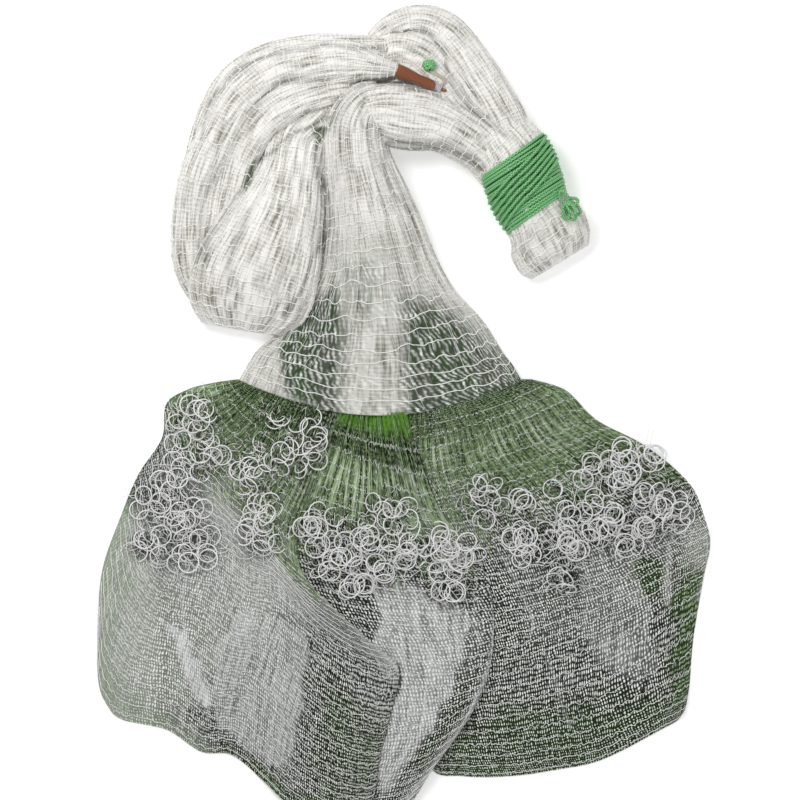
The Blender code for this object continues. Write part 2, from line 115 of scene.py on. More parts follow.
ARCH_OUTER = [
    Station(0.178, 0.440, 0.036, 0.030, 0.028),
    Station(0.163, 0.477, 0.035, 0.033, 0.034),
    Station(0.135, 0.526, 0.034, 0.033, 0.034),
    Station(0.104, 0.572, 0.032, 0.032, 0.032),
    Station(0.066, 0.615, 0.030, 0.030, 0.030),
    Station(0.024, 0.630, 0.028, 0.026, 0.028),
    Station(-0.016, 0.618, 0.026, 0.025, 0.024),
    Station(-0.046, 0.594, 0.024, 0.020, 0.020),
]
ARCH_INNER = [
    Station(0.160, 0.436, 0.036, 0.030, 0.028),
    Station(0.128, 0.466, 0.034, 0.034, 0.033),
    Station(0.090, 0.500, 0.033, 0.037, 0.033),
    Station(0.060, 0.540, 0.031, 0.040, 0.031),
    Station(0.026, 0.572, 0.029, 0.042, 0.030),
    Station(-0.012, 0.582, 0.027, 0.040, 0.028),
    Station(-0.050, 0.566, 0.026, 0.036, 0.026),
    Station(-0.085, 0.545, 0.024, 0.030, 0.024),
]
OUTER_ROLL = [
    Station(-0.020, 0.592, 0.040, 0.014, 0.016),
    Station(-0.075, 0.588, 0.044, 0.020, 0.024),
    Station(-0.150, 0.589, 0.040, 0.020, 0.027),
    Station(-0.218, 0.573, 0.036, 0.022, 0.028),
    Station(-0.268, 0.538, 0.032, 0.024, 0.028),
    Station(-0.300, 0.485, 0.028, 0.025, 0.027),
    Station(-0.318, 0.440, 0.024, 0.024, 0.024),
    Station(-0.332, 0.395, 0.020, 0.018, 0.019),
]
LEFT_OUTER = [
    Station(-0.008, 0.5535, 0.0655, 0.0088, 0.0086),
    Station(-0.040, 0.560, 0.062, 0.020, 0.018),
    Station(-0.085, 0.567, 0.056, 0.034, 0.027),
    Station(-0.145, 0.560, 0.048, 0.037, 0.034),
    Station(-0.205, 0.545, 0.042, 0.038, 0.037),
    Station(-0.258, 0.503, 0.037, 0.039, 0.035),
    Station(-0.293, 0.444, 0.033, 0.039, 0.033),
    Station(-0.318, 0.378, 0.029, 0.039, 0.030),
    Station(-0.329, 0.305, 0.025, 0.037, 0.026),
    Station(-0.328, 0.240, 0.018, 0.034, 0.019),
    Station(-0.310, 0.195, 0.011, 0.028, 0.013),
]
LEFT_INNER = [
    Station(-0.078, 0.528, 0.045, 0.024, 0.022),
    Station(-0.125, 0.522, 0.044, 0.032, 0.031),
    Station(-0.175, 0.507, 0.042, 0.036, 0.036),
    Station(-0.222, 0.474, 0.039, 0.036, 0.036),
    Station(-0.254, 0.423, 0.036, 0.034, 0.034),
    Station(-0.273, 0.360, 0.032, 0.032, 0.031),
    Station(-0.286, 0.295, 0.027, 0.030, 0.026),
    Station(-0.296, 0.240, 0.018, 0.026, 0.019),
]
RETURN_RUN = [
    Station(-0.100, 0.515, 0.026, 0.040, 0.024),
    Station(-0.140, 0.480, 0.030, 0.050, 0.030),
    Station(-0.168, 0.450, 0.034, 0.052, 0.033),
    Station(-0.179, 0.395, 0.039, 0.054, 0.035),
    Station(-0.193, 0.341, 0.043, 0.071, 0.036),
    Station(-0.216, 0.277, 0.045, 0.090, 0.034),
    Station(-0.239, 0.218, 0.038, 0.100, 0.029),
    Station(-0.250, 0.173, 0.026, 0.092, 0.022),
    Station(-0.256, 0.140, 0.014, 0.062, 0.013),
]
TIED_END = [
    Station(0.146, 0.462, 0.037, 0.044, 0.030),
    Station(0.160, 0.442, 0.039, 0.052, 0.033),
    Station(0.174, 0.421, 0.0405, 0.057, 0.034),
    Station(0.188, 0.388, 0.0405, 0.061, 0.034),
    Station(0.202, 0.355, 0.0405, 0.060, 0.034),
    Station(0.215, 0.325, 0.038, 0.055, 0.0315),
    Station(0.227, 0.304, 0.029, 0.066, 0.029),
    Station(0.238, 0.281, 0.024, 0.068, 0.026),
    Station(0.246, 0.264, 0.020, 0.064, 0.022),
    Station(0.252, 0.249, 0.012, 0.052, 0.012),
]
TIED_SKEW = 0.17  # how far the tied end's sections turn from square, in radians

# An outline, how soft its edge is and how strongly it acts. The cone is so thin in its openings that
# the green netting shows through; the slits between the runs get dark green painted shade.
Patch = namedtuple("Patch", "outline soft strength")
OPENINGS = [
    Patch([(-0.073, 0.256), (-0.044, 0.256), (-0.038, 0.200), (-0.050, 0.150), (-0.078, 0.170),
           (-0.085, 0.218)], 0.012, 0.50),
    Patch([(-0.105, 0.220), (-0.170, 0.160), (-0.200, 0.117), (-0.190, 0.040), (-0.116, 0.000),
           (-0.096, 0.000), (-0.094, 0.140)], 0.012, 0.95),
    Patch([(-0.006, 0.200), (0.040, 0.190), (0.090, 0.170), (0.150, 0.120), (0.230, 0.070),
           (0.230, 0.020), (-0.004, -0.020)], 0.030, 0.95),
    Patch([(-0.230, 0.120), (0.230, 0.120), (0.230, -0.020), (-0.230, -0.020)], 0.040, 0.28),
    Patch([(-0.120, 0.300), (0.000, 0.300), (0.100, 0.120), (-0.180, 0.120)], 0.040, 0.30),
]
SLITS = [
    Patch([(-0.234, 0.415), (-0.239, 0.381), (-0.251, 0.362), (-0.253, 0.371), (-0.243, 0.400)],
          0.004, 0.95),
    Patch([(-0.145, 0.465), (-0.119, 0.463), (-0.131, 0.443), (-0.140, 0.419), (-0.137, 0.443)],
          0.004, 0.85),
]

# Creases between the gathered runs, which the light doesn't reach.
Crease = namedtuple("Crease", "line width strength")
CREASES = [
    Crease([(-0.040, 0.590), (-0.068, 0.587), (-0.116, 0.592), (-0.174, 0.583), (-0.236, 0.568),
            (-0.270, 0.547), (-0.294, 0.520), (-0.308, 0.487), (-0.315, 0.448)], 0.0035, 0.60),
    Crease([(-0.121, 0.537), (-0.193, 0.535), (-0.227, 0.501), (-0.246, 0.477), (-0.284, 0.415),
            (-0.308, 0.362), (-0.318, 0.334), (-0.315, 0.252)], 0.0070, 0.42),
    Crease([(-0.116, 0.477), (-0.155, 0.460), (-0.188, 0.443), (-0.212, 0.419), (-0.241, 0.400),
            (-0.255, 0.362), (-0.284, 0.324), (-0.308, 0.290), (-0.313, 0.247)], 0.0035, 0.62),
    Crease([(-0.097, 0.511), (-0.116, 0.467), (-0.133, 0.439), (-0.135, 0.400), (-0.126, 0.362),
            (-0.123, 0.304), (-0.131, 0.266), (-0.150, 0.228), (-0.188, 0.165)], 0.0040, 0.62),
    Crease([(-0.059, 0.506), (-0.068, 0.482), (-0.059, 0.458), (-0.040, 0.467), (-0.030, 0.424),
            (-0.025, 0.381), (0.004, 0.333), (0.028, 0.276)], 0.0040, 0.45),
    Crease([(-0.068, 0.537), (-0.025, 0.544), (0.009, 0.530), (0.047, 0.515), (0.080, 0.503),
            (0.119, 0.479), (0.167, 0.448)], 0.0035, 0.55),
    Crease([(0.138, 0.477), (0.100, 0.501), (0.076, 0.549), (0.071, 0.578), (0.047, 0.606),
            (0.018, 0.616), (-0.020, 0.614)], 0.0040, 0.60),
    Crease([(-0.025, 0.439), (0.028, 0.431), (0.076, 0.434), (0.095, 0.424), (0.124, 0.395)],
           0.0080, 0.62),
    Crease([(-0.092, 0.247), (-0.088, 0.208), (-0.092, 0.165), (-0.097, 0.122)], 0.0060, 0.35),
    Crease([(0.004, 0.304), (0.018, 0.261), (0.028, 0.213), (0.047, 0.141)], 0.0050, 0.30),
    Crease([(-0.160, 0.300), (-0.185, 0.240), (-0.200, 0.200)], 0.0050, 0.30),
    Crease([(-0.250, 0.330), (-0.268, 0.260), (-0.275, 0.200)], 0.0060, 0.28),
]

# How each gathered run is made: its table, the flats round it, the pleats that show and its seed.
Run = namedtuple("Run", "name table around pleats depth seed skew sheer ends")
RUNS = [
    Run("cone", CONE, 220, 34, 0.0030, 3, 0.0, True, (0.0, 0.03)),
    Run("neck_run", NECK_RUN, 120, 16, 0.0030, 5, 0.0, False, (0.03, 0.03)),
    Run("arch_outer", ARCH_OUTER, 96, 12, 0.0028, 7, 0.0, False, (0.03, 0.04)),
    Run("arch_inner", ARCH_INNER, 96, 12, 0.0030, 9, 0.0, False, (0.03, 0.04)),
    Run("outer_roll", OUTER_ROLL, 72, 8, 0.0022, 11, 0.0, False, (0.03, 0.03)),
    Run("left_outer", LEFT_OUTER, 108, 12, 0.0028, 13, 0.0, False, (0.0, 0.02)),
    Run("left_inner", LEFT_INNER, 96, 11, 0.0028, 15, 0.0, False, (0.05, 0.02)),
    Run("return_run", RETURN_RUN, 160, 18, 0.0034, 17, 0.0, False, (0.04, 0.02)),
    Run("tied_end", TIED_END, 144, 18, 0.0016, 19, TIED_SKEW, False, (0.0, 0.0)),
]

LEFT_HEM = [
    (-0.305, 0.056), (-0.345, 0.045), (-0.378, 0.022), (-0.385, -0.032),
    (-0.423, -0.091), (-0.450, -0.155), (-0.479, -0.237), (-0.487, -0.314), (-0.487, -0.418),
    (-0.471, -0.462), (-0.447, -0.483), (-0.377, -0.499), (-0.322, -0.534), (-0.273, -0.539),
    (-0.222, -0.581), (-0.186, -0.615), (-0.130, -0.648), (-0.085, -0.656), (-0.058, -0.645),
    (-0.044, -0.600), (-0.036, -0.540), (-0.021, -0.480), (-0.006, -0.402), (-0.049, -0.359),
    (-0.105, -0.308), (-0.158, -0.250), (-0.168, -0.190), (-0.140, -0.115),
]
MIDDLE_HEM = [
    (-0.150, -0.080), (-0.190, -0.170), (-0.195, -0.260), (-0.165, -0.355), (-0.150, -0.483),
    (-0.164, -0.571), (-0.160, -0.611), (-0.120, -0.635), (-0.075, -0.654), (-0.020, -0.646),
    (0.017, -0.611), (0.046, -0.565), (0.108, -0.477), (0.137, -0.411), (0.146, -0.334),
    (0.137, -0.259), (0.105, -0.205), (0.057, -0.139),
]
RIGHT_HEM = [
    (-0.014, -0.099), (0.005, -0.227), (0.028, -0.355), (0.031, -0.467),
    (0.046, -0.560), (0.097, -0.573), (0.172, -0.573), (0.244, -0.563), (0.318, -0.547),
    (0.409, -0.501), (0.446, -0.477), (0.458, -0.435), (0.465, -0.355), (0.481, -0.258),
    (0.492, -0.203), (0.484, -0.162), (0.460, -0.106), (0.391, -0.046), (0.311, -0.003),
    (0.262, 0.044),
]

# A soft ridge of netting along a line of places; bright is how much it whitens the netting.
Fold = namedtuple("Fold", "line width height bright")
LEFT_FOLDS = [
    Fold([(-0.340, -0.250), (-0.300, -0.380), (-0.268, -0.515)], 0.030, 0.016, 0.0),
    Fold([(-0.300, -0.235), (-0.270, -0.360), (-0.244, -0.483)], 0.024, 0.012, 0.0),
    Fold([(-0.175, -0.037), (-0.150, -0.045)], 0.040, 0.016, 0.0),
    Fold([(-0.345, 0.020), (-0.170, 0.010)], 0.030, 0.018, 0.0),
    Fold([(-0.430, -0.260), (-0.440, -0.420)], 0.035, 0.010, 0.0),
    Fold([(-0.340, -0.232), (-0.351, -0.295), (-0.345, -0.351), (-0.323, -0.381),
          (-0.336, -0.424)], 0.0040, 0.003, 0.75),
    Fold([(-0.323, -0.196), (-0.289, -0.265), (-0.276, -0.304), (-0.259, -0.368),
          (-0.272, -0.432)], 0.0045, 0.004, 0.70),
    Fold([(-0.263, -0.154), (-0.259, -0.239), (-0.242, -0.304), (-0.255, -0.389)],
         0.0110, 0.003, 0.45),
    Fold([(-0.293, -0.304), (-0.312, -0.350), (-0.323, -0.381)], 0.0025, 0.002, 0.60),
    Fold([(-0.276, -0.316), (-0.300, -0.352), (-0.318, -0.392)], 0.0025, 0.002, 0.45),
    Fold([(-0.378, -0.450), (-0.360, -0.478), (-0.335, -0.495), (-0.310, -0.480),
          (-0.318, -0.462), (-0.345, -0.460), (-0.352, -0.480)], 0.0060, 0.003, 0.35),
    Fold([(-0.199, -0.171), (-0.160, -0.248), (-0.105, -0.308), (-0.049, -0.359),
          (-0.008, -0.402)], 0.0060, 0.005, 0.62),
    Fold([(-0.395, -0.480), (-0.350, -0.500), (-0.300, -0.530)], 0.010, 0.005, 0.25),
    Fold([(-0.460, -0.390), (-0.420, -0.420), (-0.385, -0.440)], 0.0040, 0.002, 0.45),
]
MIDDLE_FOLDS = [
    Fold([(0.120, -0.300), (0.100, -0.420), (0.030, -0.540)], 0.028, 0.010, 0.0),
    Fold([(0.075, -0.195), (0.130, -0.205), (0.143, -0.250), (0.148, -0.330), (0.136, -0.402),
          (0.105, -0.475), (0.050, -0.556), (0.007, -0.611)], 0.0060, 0.003, 0.62),
    Fold([(0.060, -0.300), (0.100, -0.320), (0.128, -0.360)], 0.0035, 0.003, 0.55),
    Fold([(-0.050, -0.050), (-0.055, -0.180)], 0.025, 0.010, 0.0),
    Fold([(0.000, -0.060), (0.045, -0.180)], 0.020, 0.008, 0.0),
    Fold([(-0.006, -0.072), (0.028, -0.124), (0.045, -0.192)], 0.0080, 0.006, 0.50),
    Fold([(-0.027, -0.230), (-0.020, -0.380)], 0.0040, 0.004, 0.30),
    Fold([(0.004, -0.240), (0.004, -0.380)], 0.0040, 0.004, 0.30),
]
RIGHT_FOLDS = [
    Fold([(0.210, -0.243), (0.264, -0.507)], 0.028, 0.012, 0.0),
    Fold([(0.144, -0.196), (0.187, -0.274), (0.208, -0.325), (0.204, -0.346)], 0.0035, 0.003, 0.50),
    Fold([(0.148, -0.214), (0.187, -0.239), (0.230, -0.265)], 0.0035, 0.003, 0.40),
    Fold([(0.230, -0.376), (0.251, -0.445), (0.268, -0.496)], 0.0026, 0.002, 0.50),
    Fold([(0.360, -0.060), (0.450, -0.200)], 0.032, 0.014, 0.0),
    Fold([(0.070, 0.000), (0.230, 0.020)], 0.026, 0.016, 0.0),
    Fold([(0.390, -0.300), (0.425, -0.450)], 0.030, 0.010, 0.0),
    Fold([(0.448, -0.128), (0.440, -0.162), (0.427, -0.196), (0.423, -0.295)], 0.0080, 0.003, 0.50),
    Fold([(0.484, -0.185), (0.488, -0.240), (0.470, -0.290)], 0.0060, 0.003, 0.40),
]

# Where a lobe's netting is white with layers, tinted green, and thin enough to show the floor.
VEILS = {
    "skirt_left": [
        Patch([(-0.530, -0.180), (-0.430, -0.180), (-0.400, -0.300), (-0.400, -0.450),
               (-0.340, -0.530), (-0.530, -0.560)], 0.030, 0.26),
        Patch([(-0.400, -0.316), (-0.375, -0.325), (-0.336, -0.368), (-0.310, -0.432),
               (-0.302, -0.466), (-0.323, -0.466), (-0.345, -0.411), (-0.370, -0.359)], 0.006, 0.75),
        Patch([(-0.276, -0.325), (-0.207, -0.308), (-0.147, -0.338), (-0.152, -0.389),
               (-0.160, -0.454), (-0.173, -0.514), (-0.186, -0.556), (-0.216, -0.548),
               (-0.259, -0.522), (-0.293, -0.488), (-0.310, -0.432), (-0.302, -0.368)], 0.005, 0.55),
        Patch([(-0.375, -0.119), (-0.310, -0.089), (-0.250, -0.094), (-0.216, -0.145),
               (-0.182, -0.205), (-0.160, -0.248), (-0.130, -0.291), (-0.147, -0.338),
               (-0.216, -0.308), (-0.276, -0.325), (-0.345, -0.308), (-0.387, -0.265),
               (-0.413, -0.179)], 0.022, 0.42),
        Patch([(-0.199, -0.171), (-0.160, -0.248), (-0.105, -0.308), (-0.049, -0.359),
               (-0.006, -0.402), (-0.015, -0.432), (-0.087, -0.338), (-0.182, -0.235),
               (-0.216, -0.179)], 0.006, 0.45),
    ],
    "skirt_middle": [
        Patch([(-0.006, -0.402), (-0.023, -0.488), (-0.040, -0.539), (-0.040, -0.608),
               (-0.010, -0.574), (0.045, -0.496), (0.093, -0.402), (0.114, -0.325),
               (0.093, -0.299), (0.050, -0.282), (0.007, -0.265), (-0.036, -0.239),
               (-0.050, -0.368)], 0.007, 0.62),
        Patch([(-0.040, -0.220), (0.060, -0.290), (0.118, -0.290), (0.140, -0.340),
               (0.110, -0.410), (-0.040, -0.420)], 0.025, 0.25),
    ],
    "skirt_right": [
        Patch([(0.281, -0.196), (0.376, -0.214), (0.393, -0.308), (0.410, -0.411),
               (0.371, -0.419), (0.307, -0.389), (0.281, -0.325)], 0.006, 0.34),
        Patch([(0.303, -0.346), (0.371, -0.338), (0.376, -0.402), (0.341, -0.402),
               (0.307, -0.376)], 0.012, 0.50),
        Patch([(0.367, -0.111), (0.448, -0.115), (0.440, -0.214), (0.367, -0.214)], 0.022, 0.38),
        Patch([(0.063, -0.111), (0.144, -0.111), (0.144, -0.196), (0.063, -0.196)], 0.025, 0.30),
        Patch([(0.150, -0.220), (0.290, -0.260), (0.300, -0.360), (0.210, -0.350)], 0.015, 0.16),
    ],
}
GREENS = {
    "skirt_left": [
        Patch([(-0.400, 0.070), (-0.120, 0.070), (-0.120, -0.045), (-0.300, -0.040),
               (-0.400, -0.030)], 0.018, 0.90),
        Patch([(-0.520, -0.080), (-0.425, -0.080), (-0.440, -0.230), (-0.462, -0.350),
               (-0.430, -0.450), (-0.350, -0.500), (-0.230, -0.560), (-0.100, -0.640),
               (-0.100, -0.700), (-0.520, -0.700)], 0.014, 0.60),
        Patch([(-0.330, -0.090), (-0.275, -0.090), (-0.275, -0.140), (-0.320, -0.150)], 0.015, 0.40),
        Patch([(-0.120, -0.420), (-0.030, -0.500), (-0.060, -0.640), (-0.140, -0.630)], 0.030, 0.35),
    ],
    "skirt_middle": [
        Patch([(-0.140, 0.000), (0.050, 0.000), (0.070, -0.160), (-0.150, -0.160)], 0.030, 0.75),
        Patch([(0.110, -0.400), (0.060, -0.480), (0.000, -0.560), (0.030, -0.560),
               (0.100, -0.470)], 0.008, 0.35),
    ],
    "skirt_right": [
        Patch([(-0.020, 0.060), (0.262, 0.060), (0.330, 0.010), (0.470, -0.090), (0.400, -0.100),
               (0.300, -0.100), (0.200, -0.110), (0.060, -0.100), (-0.020, -0.050)], 0.030, 0.80),
        Patch([(0.436, -0.239), (0.500, -0.239), (0.490, -0.480), (0.430, -0.460)], 0.016, 0.80),
        Patch([(0.367, -0.222), (0.418, -0.222), (0.418, -0.282), (0.385, -0.282)], 0.010, 0.60),
        Patch([(0.020, -0.480), (0.440, -0.440), (0.440, -0.600), (0.020, -0.600)], 0.030, 0.45),
    ],
}
PALES = {
    "skirt_left": [
        Patch([(-0.530, -0.120), (-0.420, -0.140), (-0.385, -0.270), (-0.375, -0.350),
               (-0.385, -0.470), (-0.330, -0.520), (-0.300, -0.560), (-0.530, -0.560)], 0.030, 0.50),
        Patch([(-0.390, -0.100), (-0.240, -0.100), (-0.190, -0.200), (-0.180, -0.300),
               (-0.390, -0.500)], 0.030, 0.35),
    ],
    "skirt_middle": [],
    "skirt_right": [
        Patch([(0.440, -0.130), (0.500, -0.180), (0.500, -0.240), (0.450, -0.240)], 0.020, 0.30),
    ],
}

# A lobe's hem goes down its left side to its first corner, along its foot and up from its second.
Lobe = namedtuple("Lobe", "name collar hem corners folds pleats seed")
LOBES = [
    Lobe("skirt_right", (-0.006, 0.208), RIGHT_HEM, (5, 11), RIGHT_FOLDS, 30, 31),
    Lobe("skirt_middle", (-0.102, 0.006), MIDDLE_HEM, (7, 11), MIDDLE_FOLDS, 16, 37),
    Lobe("skirt_left", (-0.264, -0.096), LEFT_HEM, (8, 19), LEFT_FOLDS, 26, 41),
]
LOBE_COLUMNS = 260
LOBE_ROWS = 140

BUNCH_SPREAD = 1.2  # how far rings stray past the edge of their bunch
CROWD = 1.5  # rings that lie in a bunch for each one that stands out
LYING_SHARE = 0.8  # the share of rings that lie nearly flat
STEEP_TIP = (0.7, 1.2)  # how far the others tip, in radians

# Where ring sinkers have bunched: a slanting patch, how many lie there and how far they tip.
Bunch = namedtuple("Bunch", "x y half_x half_y turn count tip")
BUNCHES = {
    "left": [
        Bunch(-0.332, 0.001, 0.030, 0.022, 0.0, 7, 0.5),
        Bunch(-0.323, -0.059, 0.045, 0.030, 0.0, 11, 0.5),
        Bunch(-0.370, -0.136, 0.045, 0.035, 0.0, 12, 0.5),
        Bunch(-0.233, -0.063, 0.040, 0.027, 0.0, 9, 0.5),
        Bunch(-0.160, -0.038, 0.026, 0.040, 0.0, 13, 1.1),
        Bunch(-0.205, 0.001, 0.010, 0.010, 0.0, 2, 0.2),
        Bunch(-0.229, -0.128, 0.030, 0.030, 0.0, 7, 0.4),
        Bunch(-0.224, -0.184, 0.030, 0.028, 0.0, 6, 0.4),
        Bunch(-0.349, -0.196, 0.045, 0.038, 0.0, 10, 0.5),
        Bunch(-0.413, -0.205, 0.012, 0.012, 0.0, 2, 0.5),
        Bunch(-0.156, -0.171, 0.020, 0.020, 0.0, 3, 0.5),
    ],
    "middle": [
        Bunch(-0.130, -0.179, 0.025, 0.030, 0.0, 5, 0.6),
        Bunch(-0.087, -0.205, 0.035, 0.030, 0.0, 8, 0.6),
        Bunch(-0.023, -0.149, 0.035, 0.025, 0.0, 7, 0.8),
        Bunch(-0.010, -0.201, 0.035, 0.025, 0.0, 8, 0.6),
        Bunch(-0.122, -0.239, 0.018, 0.018, 0.0, 3, 0.4),
        Bunch(-0.079, -0.256, 0.020, 0.020, 0.0, 4, 0.4),
        Bunch(-0.036, -0.243, 0.030, 0.020, 0.0, 6, 0.5),
        Bunch(0.041, -0.214, 0.035, 0.030, 0.0, 8, 0.6),
        Bunch(0.080, -0.218, 0.032, 0.022, 0.0, 12, 0.9),
        Bunch(0.080, -0.275, 0.026, 0.016, 0.0, 4, 0.6),
    ],
    "right": [
        Bunch(0.380, -0.063, 0.030, 0.018, -0.4, 6, 0.7),
        Bunch(0.328, -0.089, 0.045, 0.025, 0.2, 12, 0.7),
        Bunch(0.414, -0.150, 0.035, 0.035, 0.0, 11, 0.7),
        Bunch(0.294, -0.162, 0.040, 0.030, 0.2, 11, 0.5),
        Bunch(0.191, -0.138, 0.010, 0.010, 0.0, 2, 0.3),
        Bunch(0.240, -0.111, 0.004, 0.004, 0.0, 1, 0.1),
        Bunch(0.230, -0.200, 0.055, 0.030, 0.1, 14, 0.4),
        Bunch(0.260, -0.258, 0.018, 0.012, 0.0, 3, 0.2),
        Bunch(0.131, -0.132, 0.035, 0.028, 0.0, 7, 0.8),
        Bunch(0.350, -0.179, 0.035, 0.028, 0.0, 7, 0.5),
    ],
}

# Where short green threads stick up: a lobe, its left, right, near and far edges and how many.
FUZZ = [
    ("left", (-0.385, -0.130, -0.045, 0.045), 520),
    ("middle", (-0.105, 0.000, -0.080, -0.015), 160),
    ("right", (0.010, 0.250, -0.110, 0.010), 420),
]


# ---------------------------------------------------------------- curves and shapes

def ramp(value, low, high):
    """0 at low, 1 at high, eased between them."""
    share = np.clip((value - low) / (high - low), 0.0, 1.0)
    return share * share * (3 - 2 * share)


def along_rows(rows, t):
    """Rows of a table read at places t, from 0 to 1, on one smooth curve through them."""
    rows = np.asarray(rows, float)
    spans = len(rows) - 1
    place = np.clip(np.asarray(t, float), 0.0, 1.0) * spans
    k = np.minimum(place.astype(int), spans - 1)
    s = (place - k)[..., None]
    a, b, c, d = (rows[np.clip(k + step, 0, spans)] for step in (-1, 0, 1, 2))
    return 0.5 * (2 * b + (c - a) * s + (2 * a - 5 * b + 4 * c - d) * s**2
                  + (3 * b - a - 3 * c + d) * s**3)


def evenly(points, t):
    """Places t, from 0 to 1 of its length, on a smooth curve through the points."""
    fine = along_rows(points, np.linspace(0, 1, 40 * len(points)))
    steps = np.linalg.norm(np.diff(fine, axis=0), axis=1)
    lengths = np.concatenate([[0.0], np.cumsum(steps)])
    wanted = np.asarray(t) * lengths[-1]
    return np.stack([np.interp(wanted, lengths, fine[:, i]) for i in range(fine.shape[1])], -1)


WAVES_PEAK = 2.6  # what five waves together seldom pass


def waves(seed, *values):
    """Smooth unevenness between about -1 and 1, from a few crossing waves."""
    draw = random.Random(seed)
    total = 0.0
    for _ in range(5):
        phase = draw.uniform(0, 2 * math.pi)
        term = phase
        for value in values:
            term = term + value * draw.uniform(0.5, 1.6) * draw.choice((-1, 1))
        total = total + np.sin(term)
    return total / WAVES_PEAK


def spread(x):
    """Rounded ridges with sharp valleys between them, from -1 to 1."""
    return 2 * np.abs(np.sin(x)) - 1


def run_length(table):
    """The length of a run's path."""
    fine = along_rows(table, np.linspace(0, 1, 400))[:, :3]
    return float(np.linalg.norm(np.diff(fine, axis=0), axis=1).sum())


def run_surface(run, u, v, lift=0.0):
    """Points on a gathered run: u goes once round it and v runs along it."""
    rows = along_rows(run.table, v)
    ahead = along_rows(run.table, np.clip(v + RUN_AHEAD, 0, 1))
    behind = along_rows(run.table, np.clip(v - RUN_AHEAD, 0, 1))
    way = ahead[..., :2] - behind[..., :2]
    angle = np.arctan2(way[..., 1], way[..., 0]) + run.skew
    head = np.stack([np.cos(angle), np.sin(angle), 0 * angle], -1)
    side = np.stack([-np.sin(angle), np.cos(angle), 0 * angle], -1)
    up = np.array([0.0, 0.0, 1.0])
    turn = 2 * math.pi * u
    c, s = np.cos(turn), np.sin(turn)
    a = np.sign(c) * np.abs(c) ** FULLNESS
    b = np.sign(s) * np.abs(s) ** FULLNESS
    close = np.ones_like(v)
    for share, place in zip(run.ends, (v, 1 - v)):
        if share:
            close = np.minimum(close, np.clip(place / share, 0.02, 1.0))
    close = np.sqrt(1 - (1 - close) ** 2)
    half_width, half_height, bow = rows[..., 3] * close, rows[..., 4] * close, rows[..., 5]
    out_a, out_b = c / half_width, s / half_height
    size = np.sqrt(out_a**2 + out_b**2)
    out = side * (out_a / size)[..., None] + up * (out_b / size)[..., None]
    swell = pleats_of(run, u, v) * ramp(half_height, 0.004, 0.02) + lift
    points = rows[..., :3] + side * (half_width * a)[..., None] + up * (half_height * b)[..., None]
    points = points - head * (bow * (1 - a**2))[..., None] + out * swell[..., None]
    points[..., 2] = np.maximum(points[..., 2], FLOOR_GAP)
    return points - PLAN_CENTRE


def pleats_of(run, u, v):
    """The height of a run's lengthwise pleats, which wander, part and close up again."""
    length = run_length(run.table)
    far = v * length
    drift = 0.5 * waves(run.seed, 9 * far, 3 * u) + 0.25 * waves(run.seed + 1, 26 * far, 9 * u)
    coarse = spread(math.pi * run.pleats * 0.5 * u + drift + run.seed)
    middle = spread(math.pi * run.pleats * 1.3 * u + 1.6 * drift + 2 * run.seed)
    fine = spread(math.pi * run.pleats * 3.1 * u + 2.5 * drift + 3 * run.seed)
    fade = 0.65 + 0.35 * waves(run.seed + 2, 14 * far, 8 * u)
    bulge = 0.6 * waves(run.seed + 3, 24 * far, 7 * u)
    return run.depth * (0.9 * coarse * fade + 0.45 * middle + 0.22 * fine + bulge)


def off_line(x, y, line):
    """Distance from places to a line of points."""
    nearest = np.full(np.shape(x), 9.0)
    for (x0, y0), (x1, y1) in zip(line, line[1:]):
        dx, dy = x1 - x0, y1 - y0
        share = np.clip(((x - x0) * dx + (y - y0) * dy) / max(dx * dx + dy * dy, 1e-12), 0, 1)
        nearest = np.minimum(nearest, np.hypot(x - x0 - share * dx, y - y0 - share * dy))
    return nearest


def inside(x, y, outline):
    """Whether places lie inside an outline."""
    found = np.zeros(np.shape(x), bool)
    for (x0, y0), (x1, y1) in zip(outline, outline[1:] + outline[:1]):
        if y0 == y1:
            continue
        crosses = (y0 > y) != (y1 > y)
        found ^= crosses & (x < (x1 - x0) * (y - y0) / (y1 - y0) + x0)
    return found


def smooth_line(points, count=24):
    """A curved line through a few places."""
    if len(points) < 3:
        return points
    return [tuple(p) for p in along_rows(points, np.linspace(0, 1, count))]


def folds_at(folds, x, y):
    """How high the folds lift the netting at each place, and how much they whiten it."""
    height, bright = np.zeros(np.shape(x)), np.zeros(np.shape(x))
    for fold in folds:
        near = np.exp(-((off_line(x, y, smooth_line(fold.line)) / fold.width) ** 2))
        if fold.width < 0.02:
            height = height + fold.height * near
        else:
            height = np.maximum(height, fold.height * near)
        bright = np.maximum(bright, fold.bright * near)
    return height, bright


def shade_at(creases, x, y):
    """How much painted shade the creases put at each place."""
    shade = np.zeros(np.shape(x))
    for crease_shade in creases:
        near = np.exp(-((off_line(x, y, smooth_line(crease_shade.line)) / crease_shade.width) ** 2))
        shade = np.maximum(shade, crease_shade.strength * near)
    return shade


def patches_at(patches, x, y):
    """How strongly the patches act at each place."""
    strength = np.zeros(np.shape(x))
    for patch in patches:
        off = off_line(x, y, patch.outline + patch.outline[:1])
        signed = np.where(inside(x, y, patch.outline), off, -off)
        strength = np.maximum(strength, patch.strength * ramp(signed, -patch.soft, patch.soft))
    return strength


def under_rings(name, x, y):
    """How strong the painted shade between the rings of a lobe is at each place."""
    shade = np.zeros(np.shape(x))
    for bunch in BUNCHES[name.removeprefix("skirt_")]:
        across = (x - bunch.x) / (bunch.half_x + RING_SHADE)
        along = (y - bunch.y) / (bunch.half_y + RING_SHADE)
        away = across**2 + along**2
        shade = np.maximum(shade, 0.9 * np.exp(-(away**2)))
    return shade


